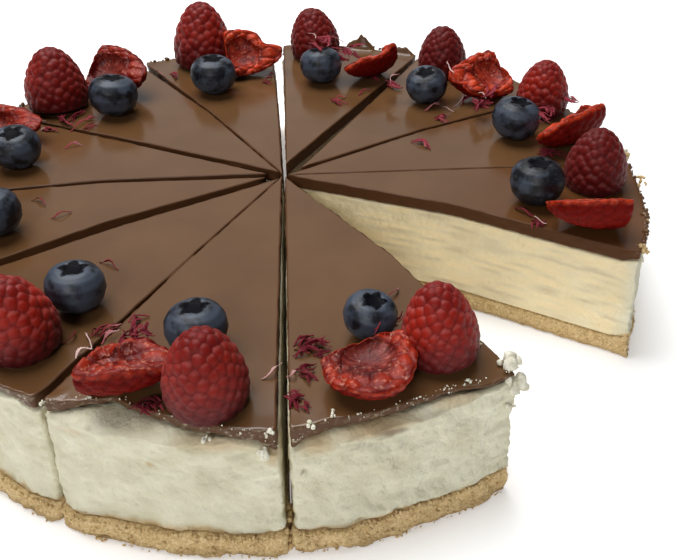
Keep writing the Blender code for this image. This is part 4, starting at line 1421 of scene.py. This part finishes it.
def surfaceBelow(trees, x, y):
    # the highest thing under the point that is not too tall to carry a petal, or the glaze's
    # own level
    found = [tree.ray_cast(Vector((x, y, 0.2)), Vector((0.0, 0.0, -1.0)))[0] for tree in trees]
    heights = [place.z for place in found if place is not None]
    return max([z for z in heights if z < cake["height"] + petalForm["overhang"]] + [cake["height"]])


def petalRows(petal, trees, seed):
    # the middle line turns evenly by the bend; width w sin(pi s)^0.6; section of six points
    distance, degrees, heading, length, width, bend, rise, lift, tone = petal[:9]
    random = np.random.default_rng(seed)
    strays = seed % petalForm["petalSeeds"] > 0  # the first strand stays in its petal's place
    if strays:
        distance = distance + random.normal(0.0, petalForm["spread"])
        degrees = degrees + random.normal(0.0, petalForm["sway"])
        heading = heading + random.normal(0.0, petalForm["veer"])
        length = length * random.uniform(*petalForm["lengths"])
    share = np.linspace(0.0, 1.0, petalForm["steps"])
    wander = np.cumsum(random.normal(0.0, petalForm["wander"], share.size))
    way = np.radians(heading + 1.6 * bend * (share - 0.5) + wander - wander.mean())
    step = length / (share.size - 1)
    line = np.stack([np.cos(way), np.sin(way)], axis=-1) * step
    line = np.cumsum(line, axis=0)
    line += polarPoints(distance, degrees) - line.mean(axis=0)
    ground = np.array([surfaceBelow(trees, x, y) for x, y in line])
    if len(petal) > 9:
        ground = np.full_like(share, cake["height"] + petal[9])
    ground = np.convolve(np.pad(ground, 2, mode="edge"), np.ones(5) / 5.0, mode="valid")
    if strays:
        rise = rise * random.uniform(*petalForm["rises"])
    lift = lift + random.uniform(0.0, petalForm["looseEnd"])
    up = ground + petalForm["clear"] + rise * np.sin(np.pi * share) ** 2 + lift * share ** 3
    twist = random.uniform(-0.9, 0.9) + random.uniform(-1.4, 1.4) * share
    across = np.stack([-np.sin(way) * np.cos(twist), np.cos(way) * np.cos(twist), np.sin(twist)], axis=-1)
    normal = np.stack([np.sin(way) * np.sin(twist), -np.cos(way) * np.sin(twist), np.cos(twist)], axis=-1)
    half = width / 2.0 * (0.12 + 0.88 * np.sin(np.pi * np.clip(share * 0.96 + 0.02, 0, 1)) ** 0.6)
    uneven = 1.0 + 0.25 * np.sin(share * 9.0 + seed) + 0.3 * random.uniform(-1.0, 1.0, share.size)
    half = 0.68 * half * uneven
    cup = 0.45 * half
    thick = petalForm["thickness"] / 2.0
    sides = [
        (1.0, 1.0, 0.0), (0.5, 0.25, 1.0), (-0.5, 0.25, 1.0),
        (-1.0, 1.0, 0.0), (-0.5, 0.25, -1.0), (0.5, 0.25, -1.0),
    ]
    middle = withHeight(line, up)
    rows = [
        middle + across * (half * a)[:, None] + normal * (cup * c + thick * t)[:, None]
        for a, c, t in sides
    ]
    rows = np.stack(rows, axis=1)
    tones = np.clip(tone + 0.25 * (share - 0.5) + random.normal(0.0, 0.05), 0.0, 1.0)
    return rows, tones[:, None] * np.ones(len(sides))


def joinGrids(name, grids, key, material):
    # several closed grids of one size in one mesh
    count, around = grids[0][0].shape[:2]
    quads, tris = gridFaces(count, around)
    places = np.concatenate([withPoles(rows) for rows, value in grids])
    values = {key: np.concatenate([withPoles(value) for rows, value in grids])}
    shift = (np.arange(len(grids)) * (count * around + 2))[:, None, None]
    return makePiece(name, places, quads + shift, tris + shift, values, material)


def pieceTrees(index):
    graph = bpy.context.evaluated_depsgraph_get()
    names = [f"{kind}Piece_{index + 1:02d}" for kind in ("blueberry", "raspberry", "half")]
    return [BVHTree.FromObject(bpy.data.objects[name], graph) for name in names]


for index in range(cake["sliceCount"]):
    trees = pieceTrees(index)
    # pale ones are single threads, the others tufts of strands
    grids = []
    for k, petal in enumerate(petals[index]):
        full = len(petal) > 9 and index in petalForm["fullSlices"]
        strands = petalForm["fullStrands"] if full else petalForm["strands"]
        if petal[8] > petalForm["paleFrom"] or (index, k) in loneShreds:
            strands = 1
        seed = petalForm["sliceSeeds"] * index + petalForm["petalSeeds"] * k
        grids += [petalRows(petal, trees, seed + strand) for strand in range(strands)]
    piece = joinGrids(f"petalPiece_{index + 1:02d}", grids, "tone", petalMaterial)
    finishPiece(piece, [f"glaze_{index + 1:02d}"])
print("petals done")

# Crumbs: small knobbly balls, of crust round the foot and of cream along the glaze's edge
crumbMaterial, tree, shader = foodMaterial("cream crumbs", 0.7)
coarse, normal = addGrain(tree, 900.0, 0.5, 0.0003, 3.0)
colour = mixColours(tree, rangeOf(tree, coarse, 0.30, 0.70), (0.64, 0.60, 0.44, 1), (0.88, 0.86, 0.74, 1))
paint(tree, shader, colour, normal)


def knobs(name, centres, sizes, seed, material, rows=5, columns=7):
    # a ball of radius r (1 + 0.35 noise), squeezed at random along each axis
    random = np.random.default_rng(seed)
    polar = np.pi * (0.08 + 0.84 * np.linspace(1.0, 0.0, rows))[:, None]
    around = np.linspace(0.0, 2.0 * np.pi, columns, endpoint=False)[None, :]
    ways = waysAt(polar, around)
    squeeze = random.uniform(0.6, 1.2, (len(sizes), 1, 1, 3))
    apart = np.arange(len(sizes))[:, None, None, None] * 3.7
    bumps = 1.0 + 0.35 * latticeNoise(ways[None] * 1.3 + apart, 1.0, seed)
    places = centres[:, None, None, :] + ways * squeeze * (sizes[:, None, None] * bumps)[..., None] / 2.0
    places[..., 2] = np.maximum(places[..., 2], 0.0)
    grids = [(block, np.zeros(block.shape[:2])) for block in places]
    return joinGrids(name, grids, "foot", material)


grains = {
    "count": 1500,
    "seed": 11,
    "smallest": 0.00035,
    "largest": 0.0011,
    "span": 330.0,  # degrees that the slices take up
    "inGap": 90,  # crumbs that lie in the gap beside the last slice
    "gapDirection": 269.4,
    "gapBand": (0.1120, 0.1215),
    "gapHeight": 0.0075,
}
random = np.random.default_rng(grains["seed"])
for index in range(cake["sliceCount"]):
    start, end = cuts[index][1] + 1.0, cuts[index + 1][1] - 1.0
    count = int(grains["count"] * (end - start) / grains["span"])
    degrees = random.uniform(start, end, count)
    z = cake["crustHeight"] * random.uniform(0.0, 1.0, count) ** 1.6
    size = grains["smallest"] + (grains["largest"] - grains["smallest"]) * random.random(count) ** 3
    radius = crustRim(degrees % 360.0, z) + size * random.uniform(-0.1, 0.25, count)
    centres = withHeight(polarPoints(radius, degrees), z)
    upper = random.uniform(start, end, count)
    lift = crustTop(polarPoints(cake["radius"], upper)) + random.normal(0.0, 0.0004, count)
    over = polarPoints(crustRim(upper % 360.0, lift), upper)
    centres = np.concatenate([centres, withHeight(over, lift)])
    size = np.concatenate([size, random.uniform(0.0004, 0.0012, count)])
    if index == cake["sliceCount"] - 1:
        distance = random.uniform(*grains["gapBand"], grains["inGap"])
        direction = random.normal(grains["gapDirection"], 0.5, grains["inGap"])
        z = random.uniform(0.0, grains["gapHeight"], grains["inGap"])
        centres = np.concatenate([centres, withHeight(polarPoints(distance, direction), z)])
        size = np.concatenate([size, random.uniform(0.0010, 0.0024, grains["inGap"])])
    piece = knobs(f"grainPiece_{index + 1:02d}", shiftOut(index, centres), size, 70 + index, crustMaterial)
    finishPiece(piece, [f"crust_{index + 1:02d}"])
print("crumbs done")

# Cream crumbs: distance, direction, height above the glaze, size, spread and number. Two have
# the pixel where they were seen instead of the first two values.
crumbLevel = 0.0395
leftSeen = (90, 398)
rightSeen = (116, 394)
creamCrumbs = [
    (0.1194, 241.7, -0.0004, 0.0011, 0.0004, 3),
    (0.1168, 243.6, 0.0002, 0.0009, 0.0007, 3),
    (*placeOf(fromPixel(*leftSeen, crumbLevel)), 0.0002, 0.0011, 0.0004, 3),
    (*placeOf(fromPixel(*rightSeen, crumbLevel)), 0.0004, 0.0014, 0.0003, 3),
    (0.1148, 258.2, 0.0008, 0.0015, 0.0006, 12),
    (0.1196, 261.3, -0.0016, 0.0016, 0.0009, 10),
    (0.1192, 267.8, -0.0004, 0.0016, 0.0010, 12),
    (0.1204, 267.2, -0.0062, 0.0026, 0.0009, 8),
    (0.1186, 272.7, 0.0000, 0.0019, 0.0005, 5),
    (0.1166, 275.2, 0.0002, 0.0010, 0.0006, 4),
    (0.1178, 278.1, 0.0002, 0.0007, 0.0007, 3),
    (0.1178, 284.0, 0.0002, 0.0007, 0.0008, 3),
    (0.1172, 289.0, 0.0004, 0.0008, 0.0010, 6),
    (0.1160, 292.0, 0.0004, 0.0013, 0.0005, 5),
    (0.1060, 297.6, 0.0004, 0.0011, 0.0006, 4),
    (0.1168, 298.0, 0.0012, 0.0036, 0.0015, 16),
    (0.1190, 298.3, -0.0042, 0.0044, 0.0014, 12),
    (0.1196, 297.4, -0.0090, 0.0018, 0.0014, 8),
    (0.1196, 332.6, -0.0006, 0.0018, 0.0013, 26),
    (0.1198, 334.6, -0.0030, 0.0015, 0.0012, 12),
    (0.1222, 3.0, -0.0012, 0.0020, 0.0014, 22),
    (0.1224, 8.0, -0.0008, 0.0018, 0.0014, 16),
    (0.1216, 16.0, -0.0010, 0.0018, 0.0016, 14),
    (0.1216, 354.0, -0.0010, 0.0018, 0.0012, 12),
]


def scatter(seed, marks):
    # round each mark its own number of crumbs, spread evenly in all directions
    random = np.random.default_rng(seed)
    many = np.repeat(np.array(marks), np.array(marks)[:, -1].astype(int), axis=0)
    distance, direction, height, size, spread = many[:, :5].T
    centres = withHeight(polarPoints(distance, direction), cake["height"] + height)
    centres = centres + random.normal(0.0, 0.7, centres.shape) * spread[:, None]
    return centres, size * random.uniform(0.25, 1.0, len(many)), direction


def edgeCrumbs(start, end, count, seed, low, high, smallest, largest):
    # along the glaze's edge, from low to high above its level
    random = np.random.default_rng(seed)
    degrees = random.uniform(start, end, count)
    radius = glazeEdge(degrees % 360.0) + random.uniform(-0.0004, 0.0005, count)
    z = cake["height"] + edgeFacts(degrees % 360.0)[1] + random.uniform(low, high, count)
    size = smallest + (largest - smallest) * random.random(count) ** 2.5
    return withHeight(polarPoints(radius, degrees), z), size


places, sizes, directions = scatter(5, creamCrumbs)
fine, fineSizes = edgeCrumbs(239.0, 299.0, 110, 6, -0.0022, -0.0003, 0.00020, 0.0006)
fineDirections = directionOf(fine)
# the two front slices, on either side of the cut towards the viewer
for index, start, end in ((9, 0.0, 270.0), (10, 270.0, 300.0)):
    first = (directions > start) & (directions < end)
    second = (fineDirections > start) & (fineDirections < end)
    centres = np.concatenate([places[first], fine[second]])
    size = np.concatenate([sizes[first], fineSizes[second]])
    piece = knobs(f"creamPiece_{index + 1:02d}", centres, size, 80 + index, crumbMaterial)
    finishPiece(piece, [f"filling_{index + 1:02d}"])
# ragged crumbs on the rim of the slices at the right
for index, start, end, count in ((0, -28.0, -1.5, 34), (1, -0.5, 26.0, 26), (2, 28.0, 58.0, 16)):
    centres, size = edgeCrumbs(start, end, count, 90 + index, -0.0040, -0.0008, 0.0003, 0.0017)
    within = (directions - start) % 360.0 < end - start
    centres, size = np.concatenate([centres, places[within]]), np.concatenate([size, sizes[within]])
    piece = knobs(f"creamPiece_{index + 1:02d}", shiftOut(index, centres), size, 92 + index, crustMaterial)
    finishPiece(piece, [f"filling_{index + 1:02d}"])
# the back rim of the glaze is broken up by small lumps of its own
for index in range(8):
    start, end = cuts[index][1] + 1.0, cuts[index + 1][1] - 1.0
    count = 150 if index < 3 else 90
    centres, size = edgeCrumbs(start, end, count, 110 + index, -0.0036, -0.0006, 0.0006, 0.0024)
    piece = knobs(f"lumpPiece_{index + 1:02d}", shiftOut(index, centres), size, 120 + index, glazeMaterial)
    finishPiece(piece, [f"glaze_{index + 1:02d}"])
print("cream crumbs done")

# Floor, light and camera
reach, level = 3.0, -0.0002  # half the floor's width, and just under the cake
floorMesh = bpy.data.meshes.new("floor")
corners = [(-reach, -reach, level), (reach, -reach, level), (reach, reach, level), (-reach, reach, level)]
floorMesh.from_pydata(corners, [], [(0, 1, 2, 3)])
floorMaterial, tree, shader = foodMaterial("floor", 0.8)
shader.inputs["Base Color"].default_value = (0.97, 0.97, 0.97, 1)
shader.inputs["Emission Color"].default_value = (1.0, 1.0, 1.0, 1)
# the camera sees the floor brighter far from the cake, where no lamp reaches
fromMiddle = addNode(tree, "TexCoord").outputs["Object"]
out = addNode(tree, "VectorMath", {0: fromMiddle}, operation="LENGTH").outputs["Value"]
ray = addNode(tree, "LightPath").outputs["Is Camera Ray"]
far = mathOf(tree, "MULTIPLY", ray, rangeOf(tree, out, 0.18, 0.9, 0.0, 0.6))
tree.links.new(mathOf(tree, "ADD", far, 0.25), shader.inputs["Emission Strength"])
shader.inputs["Specular IOR Level"].default_value = 0.1
floorMesh.materials.append(floorMaterial)
floor = bpy.data.objects.new("floor", floorMesh)
bpy.context.scene.collection.objects.link(floor)
floor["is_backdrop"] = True

world = bpy.data.worlds.new("studio")
world.use_nodes = True
background = world.node_tree.nodes["Background"]
background.inputs["Color"].default_value = (1.0, 1.0, 1.0, 1)
ray = addNode(world.node_tree, "LightPath").outputs["Is Camera Ray"]
world.node_tree.links.new(rangeOf(world.node_tree, ray, 0.0, 1.0, 0.10, 0.9), background.inputs["Strength"])
bpy.context.scene.world = world


def areaLight(name, place, target, size, power):
    light = bpy.data.lights.new(name, "AREA")
    light.shape = "DISK"
    light.size = size
    light.energy = power
    made = bpy.data.objects.new(name, light)
    made.location = place
    made.rotation_euler = (Vector(target) - Vector(place)).to_track_quat("-Z", "Y").to_euler()
    bpy.context.scene.collection.objects.link(made)


areaLight("overhead", (-0.20, 0.25, 0.95), (0.0, 0.0, 0.0), 0.9, 12.0)
areaLight("front", (-0.30, -0.92, 0.60), (0.0, 0.0, 0.02), 0.30, 3.7)
areaLight("back", (0.05, 1.0, 0.45), (0.0, 0.0, 0.04), 1.0, 1.0)

camera = bpy.data.cameras.new("camera")
camera.sensor_width = view["sensor"]
camera.lens = view["lens"]
camera.shift_x = view["shiftX"] / view["width"]
camera.shift_y = view["shiftY"] / view["width"]
cameraObject = bpy.data.objects.new("camera", camera)
cameraObject.matrix_world = Matrix.Translation(view["place"]) @ cameraTurn().to_4x4()
bpy.context.scene.collection.objects.link(cameraObject)
bpy.context.scene.camera = cameraObject
bpy.context.scene.view_settings.view_transform = "Standard"
print("stage done")

sizes = {"before": [list(corner) for corner in sizeBefore], "after": [list(corner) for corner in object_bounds()]}
meshes = [made.data for made in bpy.data.objects if made.type == "MESH"]
print("sizes", sizes, "triangles", sum(len(mesh.loops) - 2 * len(mesh.polygons) for mesh in meshes))
